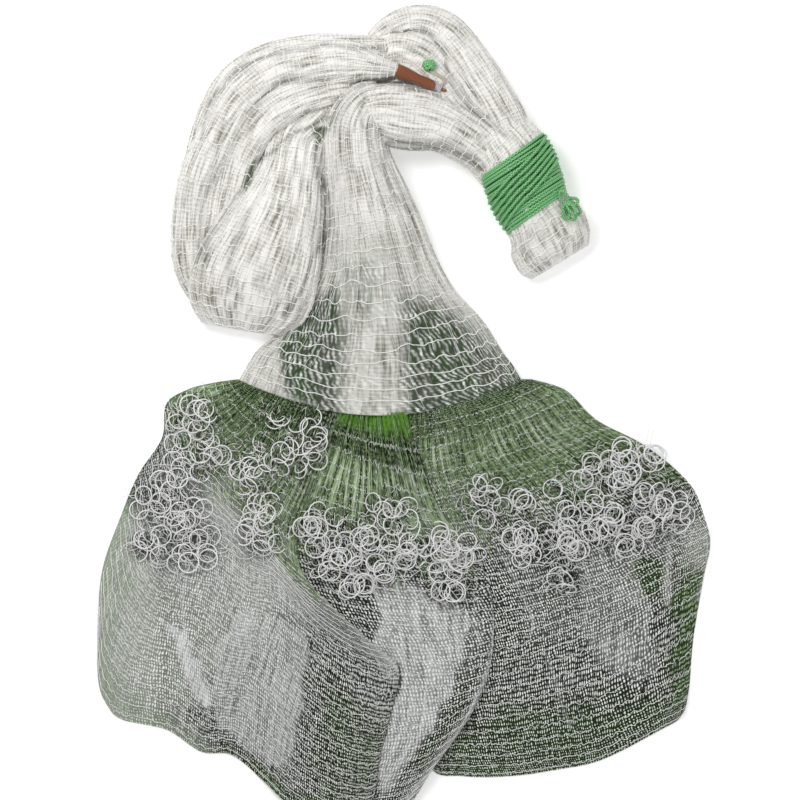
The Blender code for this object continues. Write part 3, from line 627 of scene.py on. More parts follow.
def mapped(function):
    """A function of a place, read off a fine grid that is filled once."""
    kept = []

    def read(x, y):
        if not kept:
            far = MAP_LOW[0] + MAP_STEP * np.arange(MAP_CELLS[0])
            up = MAP_LOW[1] + MAP_STEP * np.arange(MAP_CELLS[1])
            kept.append(function(*np.meshgrid(far, up, indexing="ij")))
        table = kept[0]
        a = np.clip((np.asarray(x, float) - MAP_LOW[0]) / MAP_STEP, 0, MAP_CELLS[0] - 1.001)
        b = np.clip((np.asarray(y, float) - MAP_LOW[1]) / MAP_STEP, 0, MAP_CELLS[1] - 1.001)
        i, j = a.astype(int), b.astype(int)
        s, t = a - i, b - j
        low = table[i, j] * (1 - t) + table[i, j + 1] * t
        high = table[i + 1, j] * (1 - t) + table[i + 1, j + 1] * t
        return low * (1 - s) + high * s

    return read


@mapped
def right_height(x, y):
    """The height of the right lobe."""
    return SHEET_RISE + folds_at(RIGHT_FOLDS, x, y)[0]


@mapped
def under_middle(x, y):
    """The height of the right lobe where the middle one lies on it."""
    return ramp(x, -0.060, 0.000) * (right_height(x, y) + LAYER_GAP)


@mapped
def middle_height(x, y):
    """The height of the middle lobe."""
    return SHEET_RISE + under_middle(x, y) + folds_at(MIDDLE_FOLDS, x, y)[0]


@mapped
def under_left(x, y):
    """The height of the middle lobe where the left one lies on it."""
    return ramp(x, -0.250, -0.190) * ramp(-y, 0.050, 0.110) * (middle_height(x, y) + LAYER_GAP)


@mapped
def left_height(x, y):
    """The height of the left lobe."""
    return SHEET_RISE + under_left(x, y) + folds_at(LEFT_FOLDS, x, y)[0]


UNDER = {"skirt_left": under_left, "skirt_middle": under_middle, "skirt_right": lambda x, y: 0 * x}
HEIGHTS = {"skirt_left": left_height, "skirt_middle": middle_height, "skirt_right": right_height}


def foot_of_body(x):
    """How far down the plan the cone reaches at x."""
    foot = CONE[0]
    share = np.minimum(1.0, np.abs(x - foot.x) / foot.half_width)
    return foot.y - foot.bow * (1 - share**2)


def lobe_plan(lobe, u, v):
    """Places in plan on a lobe: u goes across it and v from its collar to its foot."""
    ends = [(x, foot_of_body(x) + COLLAR_TUCK) for x in lobe.collar]
    hem = np.array([ends[0], *lobe.hem, ends[1]])
    first, second = (k / (len(hem) - 1) for k in lobe.corners)

    def side(t):
        return along_rows(hem, np.ravel(t)).reshape(*np.shape(t), 2)

    def collar(across):
        x = lobe.collar[0] + (lobe.collar[1] - lobe.collar[0]) * across
        return np.stack([x, foot_of_body(x) + COLLAR_TUCK], -1)

    down_left, down_right = side(first * v), side(1 - (1 - second) * v)
    foot = side(first + (second - first) * u)
    zero, one = np.zeros_like(u), np.ones_like(u)
    u, v = u[..., None], v[..., None]
    top, top_left, top_right = collar(u[..., 0]), collar(zero), collar(one)
    foot_left, foot_right = side(first * one), side(second * one)
    return ((1 - v) * top + v * foot + (1 - u) * down_left + u * down_right
            - (1 - u) * (1 - v) * top_left - u * (1 - v) * top_right
            - (1 - u) * v * foot_left - u * v * foot_right)


def lobe_pleats(lobe, u, v):
    """How a lobe's wide and narrow pleats run, from -1 in a valley to 1 on a ridge."""
    drift = 0.8 * waves(lobe.seed, 11 * v, 17 * u) + 0.3 * waves(lobe.seed + 1, 37 * v, 31 * u)
    gathers = spread(math.pi * lobe.pleats * u + drift)
    small = spread(math.pi * lobe.pleats * 3.3 * u + 2.3 * drift)
    return gathers, small


def lobe_surface(lobe, u, v, lift=0.0):
    """Points on a lobe of the skirt."""
    plan = lobe_plan(lobe, u, v)
    x, y = plan[..., 0], plan[..., 1]
    height, under = HEIGHTS[lobe.name](x, y), UNDER[lobe.name](x, y)
    gathers, small = lobe_pleats(lobe, u, v)
    depth = 0.0012 + 0.0042 * (1 - ramp(v, 0.0, 0.45))
    pleat = depth * (0.7 + 0.7 * gathers * (0.7 + 0.3 * waves(lobe.seed + 2, 9 * v, 40 * u)))
    pleat = pleat + 0.35 * depth * small
    loose = 0.0016 * waves(lobe.seed + 3, 60 * x, 50 * y)
    loose = loose + 0.0008 * waves(lobe.seed + 4, 170 * x, 150 * y)
    edge = ramp(v, 1.0, 0.955) * ramp(u, 0.0, 0.035) * ramp(u, 1.0, 0.965)
    z = under + 0.0008 + (height - under + pleat + loose + 0.0010) * (0.15 + 0.85 * edge) + lift
    return np.stack([x, y, np.maximum(z, FLOOR_GAP)], -1) - PLAN_CENTRE


def lobe_masks(lobe, u, v):
    """How the netting of a lobe looks at each place."""
    plan = lobe_plan(lobe, u, v)
    x, y = plan[..., 0], plan[..., 1]
    shift_x = 0.006 * waves(lobe.seed + 5, 70 * x, 60 * y)
    shift_y = 0.006 * waves(lobe.seed + 6, 55 * x, 75 * y)
    veil = patches_at(VEILS[lobe.name], x + shift_x, y + shift_y)
    gathers = lobe_pleats(lobe, u, v)[0]
    # Painted shade round the bunches of rings.
    deep = under_rings(lobe.name, x, y)
    ridge = (0.5 + 0.5 * gathers) * (1 - ramp(v, 0.08, 0.40)) * ramp(v, 0.05, 0.16)
    collar = 0 * v
    if lobe.name == "skirt_middle":
        frayed = v + 0.006 * waves(lobe.seed + 7, 60 * u, 5 * v)
        collar = 1 - ramp(frayed, 0.030, 0.050)
        band = ramp(frayed, 0.034, 0.050) * (1 - ramp(frayed, 0.070, 0.100))
        # Painted shade in a band just under the middle lobe's collar.
        deep = np.maximum(deep, 0.6 * band)
        ridge = 2.2 * (0.5 + 0.5 * gathers) ** 1.5 * ramp(v, 0.07, 0.11) * (1 - ramp(v, 0.16, 0.27))
    return {
        "veil": np.maximum(folds_at(lobe.folds, x, y)[1], veil),
        "green": patches_at(GREENS[lobe.name], x + 2 * shift_x, y + 2 * shift_y),
        "pale": patches_at(PALES[lobe.name], x, y),
        "deep": deep,
        "ridge": ridge,
        "collar": collar,
    }


# ---------------------------------------------------------------- making pieces

def finish_mesh(name, bm, surface):
    """A piece from a bmesh, at the origin with its place in its mesh."""
    for face in bm.faces:
        face.smooth = True
    mesh = bpy.data.meshes.new(name)
    bm.to_mesh(mesh)
    bm.free()
    mesh.materials.append(surface)
    piece = bpy.data.objects.new(name, mesh)
    bpy.context.scene.collection.objects.link(piece)
    return piece


def grid_piece(name, columns, rows, shape, surface, size=(1.0, 1.0), closed=False):
    """A grid bent to a shape. Its UV map runs over the size given, in metres."""
    bm = bmesh.new()
    bm.loops.layers.uv.new("Net")
    bmesh.ops.create_grid(bm, x_segments=columns, y_segments=rows, size=0.5, calc_uvs=True)
    # Rounded, so that both sides of a closed shape's seam fall on the same places and merge.
    flat = np.round(np.array([vert.co[:2] for vert in bm.verts]) + 0.5, 6)
    points, masks = shape(flat[:, 0], flat[:, 1])
    for vert, point in zip(bm.verts, points.tolist()):
        vert.co = point
    for key, values in masks.items():
        layer = bm.verts.layers.float.new(key)
        for vert, value in zip(bm.verts, values.tolist()):
            vert[layer] = value
    if closed:
        bmesh.ops.remove_doubles(bm, verts=bm.verts, dist=1e-6)
        ends = [edge for edge in bm.edges if edge.is_boundary]
        bmesh.ops.holes_fill(bm, edges=ends, sides=0)
        bmesh.ops.recalc_face_normals(bm, faces=bm.faces)
    else:
        bm.normal_update()
        if sum(face.normal.z for face in bm.faces) < 0:
            bmesh.ops.reverse_faces(bm, faces=bm.faces)
    piece = finish_mesh(name, bm, surface)
    layer = piece.data.uv_layers["Net"]
    values = np.empty(len(layer.data) * 2, np.float32)
    layer.data.foreach_get("uv", values)
    values = values.reshape(-1, 2) * np.array(size, np.float32)
    layer.data.foreach_set("uv", values.ravel())
    return piece


def strands_piece(name, lines, radius, surface):
    """Many thin strands along lines of points, joined in one mesh."""
    curve = bpy.data.curves.new(name, "CURVE")
    curve.dimensions = "3D"
    curve.bevel_depth = radius
    curve.bevel_resolution = 0
    curve.use_fill_caps = True
    for line in lines:
        spline = curve.splines.new("POLY")
        spline.points.add(len(line) - 1)
        spline.points.foreach_set("co", np.column_stack([line, np.ones(len(line))]).ravel())
    holder = bpy.data.objects.new(name, curve)
    bpy.context.scene.collection.objects.link(holder)
    graph = bpy.context.evaluated_depsgraph_get()
    mesh = bpy.data.meshes.new_from_object(holder.evaluated_get(graph))
    bpy.data.objects.remove(holder)
    bpy.data.curves.remove(curve)
    mesh.name = name
    mesh.materials.clear()
    mesh.materials.append(surface)
    mesh.shade_smooth()
    piece = bpy.data.objects.new(name, mesh)
    bpy.context.scene.collection.objects.link(piece)
    return piece


def swept_piece(name, path, radius, surface, sides=8):
    """A round cord along a path, with a UV map that runs round and along it."""
    path = np.asarray(path, float)
    steps = np.linalg.norm(np.diff(path, axis=0), axis=1)
    far = np.concatenate([[0.0], np.cumsum(steps)])
    tangents = np.gradient(path, axis=0)
    tangents /= np.linalg.norm(tangents, axis=1)[:, None]
    start = Vector(tangents[0]).orthogonal().normalized()
    normals = [np.array(start)]
    for tangent in tangents[1:]:
        moved = normals[-1] - tangent * np.dot(normals[-1], tangent)
        normals.append(moved / np.linalg.norm(moved))
    normals = np.array(normals)
    sideways = np.cross(tangents, normals)
    radii = np.broadcast_to(radius, len(path))

    def shape(u, v):
        k = np.rint(v * (len(path) - 1)).astype(int)
        turn = 2 * math.pi * u
        reach = radii[k][:, None]
        out = normals[k] * np.cos(turn)[:, None] + sideways[k] * np.sin(turn)[:, None]
        return path[k] + out * reach, {}

    return grid_piece(name, sides, len(path) - 1, shape, surface, (1.0, far[-1]), closed=True)


def join(pieces, name):
    """One piece from several, which share their materials."""
    first = pieces[0]
    with bpy.context.temp_override(
        active_object=first, object=first, selected_objects=pieces,
        selected_editable_objects=pieces,
    ):
        bpy.ops.object.join()
    first.name = name
    first.data.name = name
    return first


def settle(piece, slot, *nodes):
    """Sets a piece on the net in place of CAD nodes."""
    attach(piece, "root")
    if nodes:
        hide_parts(*nodes)
    return piece


# ---------------------------------------------------------------- materials

def new_material(name, roughness, metallic=0.0):
    """A material with its node tree and its shader."""
    made = bpy.data.materials.new(name)
    made.use_nodes = True
    shader = made.node_tree.nodes["Principled BSDF"]
    shader.inputs["Roughness"].default_value = roughness
    shader.inputs["Metallic"].default_value = metallic
    return made, made.node_tree, shader


def maths(tree, operation, a, b=None, clamp=False):
    """One sum, of numbers or of what other nodes give."""
    node = tree.nodes.new("ShaderNodeMath")
    node.operation = operation
    node.use_clamp = clamp
    for socket, value in zip(node.inputs, (a, b)):
        if value is None:
            continue
        if isinstance(value, (int, float)):
            socket.default_value = value
        else:
            tree.links.new(value, socket)
    return node.outputs[0]


def blend_colours(tree, factor, low, high):
    """One colour where the factor is 0 and the other where it is 1."""
    node = tree.nodes.new("ShaderNodeMix")
    node.data_type = "RGBA"
    tree.links.new(factor, node.inputs["Factor"])
    for name, value in (("A", low), ("B", high)):
        if isinstance(value, bpy.types.NodeSocket):
            tree.links.new(value, node.inputs[name])
        else:
            node.inputs[name].default_value = (*value, 1.0)
    return node.outputs["Result"]


def plus(tree, value, scale, offset, clamp=False):
    """A value times a scale, plus an offset."""
    made = maths(tree, "MULTIPLY_ADD", value, scale, clamp)
    made.node.inputs[2].default_value = offset
    return made


def attribute(tree, name):
    """A mask that the piece carries at its vertices."""
    node = tree.nodes.new("ShaderNodeAttribute")
    node.attribute_name = name
    return node.outputs["Fac"]


def uv_vector(tree, scale=(1.0, 1.0)):
    """The piece's own UV map, scaled."""
    source = tree.nodes.new("ShaderNodeUVMap")
    source.uv_map = "Net"
    mapping = tree.nodes.new("ShaderNodeMapping")
    mapping.inputs["Scale"].default_value = (*scale, 1.0)
    tree.links.new(source.outputs["UV"], mapping.inputs["Vector"])
    return mapping.outputs["Vector"]


def grain(tree, vector, scale=1.0, detail=2.0):
    """Uneven grain between 0 and 1."""
    node = tree.nodes.new("ShaderNodeTexNoise")
    node.inputs["Scale"].default_value = scale
    node.inputs["Detail"].default_value = detail
    tree.links.new(vector, node.inputs["Vector"])
    return node.outputs["Fac"]


def uv_grain(tree, scale, detail):
    """Grain along the piece's own UV map, so many grains to the metre each way."""
    return grain(tree, uv_vector(tree, scale), 1.0, detail)


def bump(tree, height, strength, distance, shader):
    """Fine relief on a shader's surface."""
    node = tree.nodes.new("ShaderNodeBump")
    node.inputs["Strength"].default_value = strength
    node.inputs["Distance"].default_value = distance
    tree.links.new(height, node.inputs["Height"])
    tree.links.new(node.outputs["Normal"], shader.inputs["Normal"])


def threads_group():
    """Netting as fine threads one way and rows of knots the other, both a little uneven."""
    tree = bpy.data.node_groups.new("Netting threads", "ShaderNodeTree")
    tree.interface.new_socket("UV", in_out="INPUT", socket_type="NodeSocketVector")
    for name, default in (("Threads", 300.0), ("Rows", 180.0), ("Waviness", 0.6)):
        socket = tree.interface.new_socket(name, in_out="INPUT", socket_type="NodeSocketFloat")
        socket.default_value = default
    for name in ("Thread", "Row"):
        tree.interface.new_socket(name, in_out="OUTPUT", socket_type="NodeSocketFloat")
    inputs = tree.nodes.new("NodeGroupInput")
    outputs = tree.nodes.new("NodeGroupOutput")
    split = tree.nodes.new("ShaderNodeSeparateXYZ")
    tree.links.new(inputs.outputs["UV"], split.inputs[0])
    wobble = tree.nodes.new("ShaderNodeTexNoise")
    wobble.inputs["Scale"].default_value = 60.0
    wobble.inputs["Detail"].default_value = 2.0
    tree.links.new(inputs.outputs["UV"], wobble.inputs["Vector"])
    shift = maths(tree, "MULTIPLY", maths(tree, "SUBTRACT", wobble.outputs["Fac"], 0.5),
                  inputs.outputs["Waviness"])
    for axis, count, name in (("X", "Threads", "Thread"), ("Y", "Rows", "Row")):
        place = maths(tree, "MULTIPLY", split.outputs[axis], inputs.outputs[count])
        if axis == "X":
            lean = maths(tree, "MULTIPLY", split.outputs["Y"], inputs.outputs["Rows"])
            place = maths(tree, "ADD", place, maths(tree, "MULTIPLY", lean, STROKE_LEAN))
        place = maths(tree, "ADD", place, maths(tree, "MULTIPLY", shift, 6.0))
        wave = maths(tree, "SINE", maths(tree, "MULTIPLY", place, 2 * math.pi))
        tree.links.new(plus(tree, wave, 0.5, 0.5), outputs.inputs[name])
    return tree


def place_group(tree, group, vector, threads, rows, waviness):
    """The netting's threads in a material, with its own values."""
    node = tree.nodes.new("ShaderNodeGroup")
    node.node_tree = group
    tree.links.new(vector, node.inputs["UV"])
    node.inputs["Threads"].default_value = threads
    node.inputs["Rows"].default_value = rows
    node.inputs["Waviness"].default_value = waviness
    return node.outputs["Thread"], node.outputs["Row"]


def white_netting(colours, group, name="white netting", sheer=False):
    """Many layers of white thread: fine lengthwise streaks over warm shadow."""
    made, tree, shader = new_material(name, 0.5)
    vector = uv_vector(tree)
    streaks = uv_grain(tree, (560.0, 24.0), 3.0)
    broad = uv_grain(tree, (110.0, 7.0), 3.0)
    patchy = uv_grain(tree, (30.0, 22.0), 2.0)
    thread, row = place_group(tree, group, vector, 240.0, 1 / FINE_PITCH, 0.35)
    light = maths(tree, "ADD", plus(tree, streaks, 2.8, -1.17), plus(tree, broad, 1.7, -0.70))
    light = maths(tree, "ADD", light, plus(tree, patchy, 0.5, 0.08))
    light = maths(tree, "ADD", light, plus(tree, row, 0.24, -0.06), True)
    colour = blend_colours(tree, light, colours.white_shadow, colours.white_light)
    if sheer:
        cells = uv_grain(tree, (240.0, 60.0), 1.0)
        seen = maths(tree, "MULTIPLY", maths(tree, "POWER", thread, 1.3), plus(tree, row, 0.4, 0.55))
        seen = maths(tree, "MULTIPLY", seen, plus(tree, cells, 3.4, -1.25), True)
        patch = plus(tree, broad, 2.4, -0.6, True)
        through = blend_colours(tree, patch, colours.skirt_dark, colours.green_dark)
        through = blend_colours(tree, seen, through, colours.thread_grey)
        cover = maths(tree, "MULTIPLY", attribute(tree, "open"), plus(tree, broad, 0.9, 0.62), True)
        colour = blend_colours(tree, cover, colour, through)
    # Painted shade in the creases between the runs.
    shade = maths(tree, "MULTIPLY", attribute(tree, "shade"), plus(tree, streaks, -1.2, 1.6, True))
    colour = blend_colours(tree, shade, colour, colours.crease_shade)
    # Dark green painted shade in the slits between the runs.
    colour = blend_colours(tree, attribute(tree, "deep"), colour, colours.green_dark)
    tree.links.new(colour, shader.inputs["Base Color"])
    height = maths(tree, "ADD", streaks, maths(tree, "MULTIPLY", broad, 0.8))
    bump(tree, height, 0.6, 0.0012, shader)
    return made


def skirt_netting(colours, group):
    """Open netting: rows of short white strokes over dark green gaps, whiter where layers lie."""
    made, tree, shader = new_material("green netting", 0.6)
    shader.inputs["Specular IOR Level"].default_value = 0.12
    vector = uv_vector(tree)
    deep = attribute(tree, "deep")
    thread, row = place_group(tree, group, vector, 300.0, 1 / FINE_PITCH, 0.35)
    cells = uv_grain(tree, (260.0, 150.0), 1.0)
    streaks = uv_grain(tree, (230.0, 16.0), 2.0)
    fuzz = uv_grain(tree, (600.0, 260.0), 2.0)
    patchy = uv_grain(tree, (14.0, 14.0), 3.0)
    lit = plus(tree, cells, 4.6, -1.25)
    stroke = maths(tree, "MULTIPLY", maths(tree, "POWER", thread, 1.4), plus(tree, row, 1.0, 0.12))
    stroke = maths(tree, "MULTIPLY", stroke, lit, True)
    light = maths(tree, "ADD", stroke, plus(tree, fuzz, 2.4, -1.30, True), True)
    light = maths(tree, "MULTIPLY", light, plus(tree, streaks, 2.2, -0.2, True))
    light = plus(tree, light, 1.5, -0.16, True)
    green = maths(tree, "MULTIPLY", attribute(tree, "green"), plus(tree, patchy, 2.0, -0.3, True))
    tinted = maths(tree, "MULTIPLY", attribute(tree, "green"), 0.70)
    shy = maths(tree, "MULTIPLY", plus(tree, light, -1.0, 1.0), tinted)
    light = maths(tree, "SUBTRACT", light, shy, True)
    light = maths(tree, "ADD", light, maths(tree, "MULTIPLY", attribute(tree, "pale"), 0.30), True)
    dark = blend_colours(tree, green, colours.skirt_dark, colours.green_dark)
    dark = blend_colours(tree, attribute(tree, "pale"), dark, colours.pale)
    tip = blend_colours(tree, green, colours.thread_grey, colours.green_thread)
    base = blend_colours(tree, light, dark, tip)
    ridge = maths(tree, "MULTIPLY", attribute(tree, "ridge"), plus(tree, streaks, 4.6, -1.7, True))
    base = blend_colours(tree, ridge, base, colours.green_light)
    collar = maths(tree, "MULTIPLY", attribute(tree, "collar"), plus(tree, streaks, 2.0, -0.1, True))
    base = blend_colours(tree, collar, base, colours.collar_green)
    cover = maths(tree, "MULTIPLY", attribute(tree, "veil"), plus(tree, fuzz, 1.2, 0.60), True)
    sheen = maths(tree, "ADD", plus(tree, stroke, 0.95, -0.02), plus(tree, streaks, 1.8, -0.80))
    sheen = maths(tree, "ADD", sheen, plus(tree, attribute(tree, "veil"), 1.0, -0.38), True)
    over = blend_colours(tree, sheen, colours.veil_low, colours.veil)
    colour = blend_colours(tree, cover, base, over)
    # Painted shade round the rings and under the collar.
    hollow_shade = maths(tree, "MULTIPLY", deep, plus(tree, cells, -2.0, 1.9, True))
    colour = blend_colours(tree, hollow_shade, colour, colours.skirt_dark)
    tree.links.new(colour, shader.inputs["Base Color"])
    bump(tree, light, 0.5, 0.0010, shader)
    return made


def thread_material(name, low, high):
    """Plain thread, a little lighter and darker from place to place."""
    made, tree, shader = new_material(name, 0.4)
    object_place = tree.nodes.new("ShaderNodeTexCoord").outputs["Object"]
    patchy = plus(tree, grain(tree, object_place, 120.0, 2.0), 2.4, -0.7, True)
    colour = blend_colours(tree, patchy, low, high)
    tree.links.new(colour, shader.inputs["Base Color"])
    return made


def steel_material():
    """Bright wire with a little tarnish."""
    made, tree, shader = new_material("ring steel", 0.3, 0.05)
    object_place = tree.nodes.new("ShaderNodeTexCoord").outputs["Object"]
    tarnish = grain(tree, object_place, 140.0, 3.0)
    colour = blend_colours(tree, tarnish, *STEEL_TINTS)
    tree.links.new(colour, shader.inputs["Base Color"])
    tree.links.new(plus(tree, tarnish, 0.4, 0.12), shader.inputs["Roughness"])
    return made


def braid_material(name, dark, light, strands=6.0, pitch=260.0):
    """Plaited cord: two sets of strands that cross as they go round and along it."""
    made, tree, shader = new_material(name, 0.38)
    split = tree.nodes.new("ShaderNodeSeparateXYZ")
    tree.links.new(uv_vector(tree), split.inputs[0])
    across = maths(tree, "MULTIPLY", split.outputs["X"], math.pi * strands)
    along = maths(tree, "MULTIPLY", split.outputs["Y"], 2 * math.pi * pitch)
    one = maths(tree, "SINE", maths(tree, "ADD", across, along))
    two = maths(tree, "SINE", maths(tree, "SUBTRACT", across, along))
    plait = plus(tree, maths(tree, "MAXIMUM", one, two), 0.5, 0.5)
    fleck = uv_grain(tree, (30.0, 900.0), 2.0)
    # Painted shade in the grooves between the crossing strands.
    shade = maths(tree, "MULTIPLY", plait, plus(tree, fleck, 0.9, 0.25), True)
    tree.links.new(blend_colours(tree, shade, dark, light), shader.inputs["Base Color"])
    bump(tree, plait, 0.6, 0.0006, shader)
    return made


# ---------------------------------------------------------------- settings

def length_property(name, description, default):
    """A length that a user can set."""
    return FloatProperty(name=name, description=description, default=default, unit="LENGTH")


def colour_property(name, description, default):
    """A colour that a user can set."""
    return FloatVectorProperty(name=name, description=description, default=default, subtype="COLOR")


class NetSizes(bpy.types.PropertyGroup):
    """Sizes of the net's threads, rings and cords."""

    rung: length_property("Rung", "Radius of a row of knots", 0.00095)
    thread: length_property("Thread", "Radius of a lengthwise thread", 0.00032)
    ring: length_property("Ring", "Radius of a ring sinker", 0.0158)
    wire: length_property("Wire", "Radius of a ring's wire", 0.00115)
    cord: length_property("Hand line", "Radius of the hand line", 0.0025)
    turns: IntProperty(name="Turns", description="Turns of hand line round the tied end", default=19)


class NetColours(bpy.types.PropertyGroup):
    """Colours of the netting and cords, and of the shade painted on them."""

    white_light: colour_property("White", "Netting in the light", (0.90, 0.885, 0.84))
    white_shadow: colour_property("White shadow", "Gaps between white threads", (0.19, 0.18, 0.135))
    # Painted shade laid in the creases between the runs.
    crease_shade: colour_property("Crease", "Creases between the runs", (0.085, 0.085, 0.060))
    skirt_dark: colour_property("Skirt gaps", "Dark gaps in the skirt", (0.008, 0.012, 0.007))
    green_dark: colour_property("Green", "Green tint of the skirt", (0.028, 0.068, 0.012))
    green_light: colour_property("Green pleats", "Pleats near the collar", (0.56, 0.68, 0.47))
    thread_grey: colour_property("Fine threads", "Fine threads of the skirt", (0.95, 0.98, 0.92))
    green_thread: colour_property("Green threads", "Threads of the green netting", (0.46, 0.64, 0.32))
    pale: colour_property("Pale gaps", "Gaps where the floor shows through", (0.37, 0.44, 0.35))
    collar_green: colour_property("Collar", "The green collar", (0.15, 0.36, 0.04))
    veil_low: colour_property("Veil in shade", "Between the threads of a veil", (0.22, 0.23, 0.21))
    veil: colour_property("Veil", "Where several layers lie", (0.88, 0.89, 0.88))
    rung_low: colour_property("Knots in shade", "Darker knots", (0.80, 0.80, 0.78))
    rung_high: colour_property("Knots in light", "Brighter knots", (1.0, 1.0, 0.99))
    line_dark: colour_property("Hand line shade", "Between the hand line's strands", (0.001, 0.030, 0.002))
    line_light: colour_property("Hand line", "The hand line's strands", (0.34, 0.90, 0.36))
    twine: colour_property("Twine", "Whipping twine", (0.42, 0.135, 0.055))

class StageLook(bpy.types.PropertyGroup):
    """The camera and lights over the net."""

    height: length_property("Camera height", "Height of the camera over the floor", 10.0)
    width: length_property("View width", "Width of floor that the camera sees", 1.28)
    key: FloatProperty(name="Key light", description="Strength of the main light", default=26.0)
    sky: FloatProperty(name="Sky", description="Strength of the even light", default=0.55)


def colours():
    """The colours that the user has set."""
    return bpy.context.scene.net_colours


def sizes():
    """The sizes that the user has set."""
    return bpy.context.scene.net_sizes


MATERIALS = {}
STEEL_TINTS = (0.80, 0.80, 0.79), (1.0, 1.0, 1.0)
# Each pair below is a cord's painted shade between its strands, then its strands.
CREAM_TINTS = (0.30, 0.25, 0.18), (0.70, 0.62, 0.50)
LASHING_TINTS = (0.50, 0.52, 0.58), (0.86, 0.88, 0.94)


def materials():
    """Every finish of the net, made once."""
    if not MATERIALS:
        tints = colours()
        group = threads_group()
        MATERIALS["white"] = white_netting(tints, group)
        MATERIALS["cone"] = white_netting(tints, group, "white netting of the cone", sheer=True)
        MATERIALS["skirt"] = skirt_netting(tints, group)
        # Painted shade: the dark sheet under the hand line's turns.
        MATERIALS["under"] = thread_material("green braid shade", tints.line_dark, tints.line_dark)
        MATERIALS["thread"] = thread_material("white thread", tints.rung_low, tints.rung_high)
        MATERIALS["green_thread"] = thread_material("green thread", tints.green_dark, tints.green_thread)
        MATERIALS["steel"] = steel_material()
        MATERIALS["braid"] = braid_material("green braid", tints.line_dark, tints.line_light)
        # The twine's painted shade between its strands, a darker copy of its colour.
        dark = tuple(0.45 * value for value in tints.twine)
        MATERIALS["twine"] = braid_material("brown twine", dark, tints.twine, 2.0, 500.0)
        MATERIALS["cream"] = braid_material("cream cord", *CREAM_TINTS, 4.0, 400.0)
        MATERIALS["lashing"] = braid_material("white lashing", *LASHING_TINTS, 2.0, 700.0)
    return MATERIALS


# ---------------------------------------------------------------- operators

class NET_OT_runs(bpy.types.Operator):
    """Builds the gathered runs of white netting"""

    bl_idname = "net.runs"
    bl_label = "Gathered runs"

    def execute(self, context):
        finish = materials()
        for run in RUNS:
            length = run_length(run.table)
            girth = 2 * max(row.half_width + row.half_height for row in run.table)
            rows = int(length / RUN_STEP)

            def shape(u, v, run=run):
                points = run_surface(run, u % 1.0, v)
                x, y = points[:, 0] + PLAN_CENTRE[0], points[:, 1] + PLAN_CENTRE[1]
                x = x + 0.004 * waves(71, 90 * x, 12 * y)
                # Painted shade in the slits and in the creases between the runs.
                masks = {"deep": patches_at(SLITS, x, y), "shade": shade_at(CREASES, x, y)}
                if run.sheer:
                    masks["open"] = patches_at(OPENINGS, x, y)
                return points, masks

            surface = finish["cone"] if run.sheer else finish["white"]
            body = grid_piece(run.name, run.around, rows, shape, surface, (girth, length), closed=True)
            settle(body, "white_netting", "net_body")
            settle(self.rungs(run, length), "white_netting")
            settle(self.threads(run, length), "white_netting")
        return {"FINISHED"}

    def rungs(self, run, length):
        """Rows of knots across a run, which step sideways from pleat to pleat."""
        lines = []
        count = int(length / ROW_PITCH)
        u = np.linspace(-0.06, 0.56, run.around // 2)
        for k in range(1 if run.sheer else 0, count):
            centre = (k + 0.6) / count
            steps = np.tanh(6 * waves(run.seed + 50 + k, 120 * u))
            shift = 0.0022 * waves(run.seed + k, 70 * u) + 0.0014 * steps
            v = np.clip(centre + shift / length, 0.002, 0.998)
            lines.append(run_surface(run, u % 1.0, v, 0.0004))
        return strands_piece(f"{run.name}_rungs", lines, sizes().rung, materials()["thread"])

    def threads(self, run, length):
        """Lengthwise threads that stand out along a run."""
        draw = random.Random(run.seed)
        lines = []
        for _ in range(int(run.around * RUN_THREADS)):
            start = draw.uniform(0.0, 0.5)
            a = draw.uniform(0.0, 0.6)
            b = min(1.0, a + draw.uniform(0.2, 0.6))
            v = np.linspace(a, b, max(8, int((b - a) * length / 0.009)))
            u = start + 0.006 * waves(draw.randrange(10**6), 30 * v * length)
            lines.append(run_surface(run, u % 1.0, v, 0.0003))
        return strands_piece(f"{run.name}_threads", lines, sizes().thread, materials()["thread"])


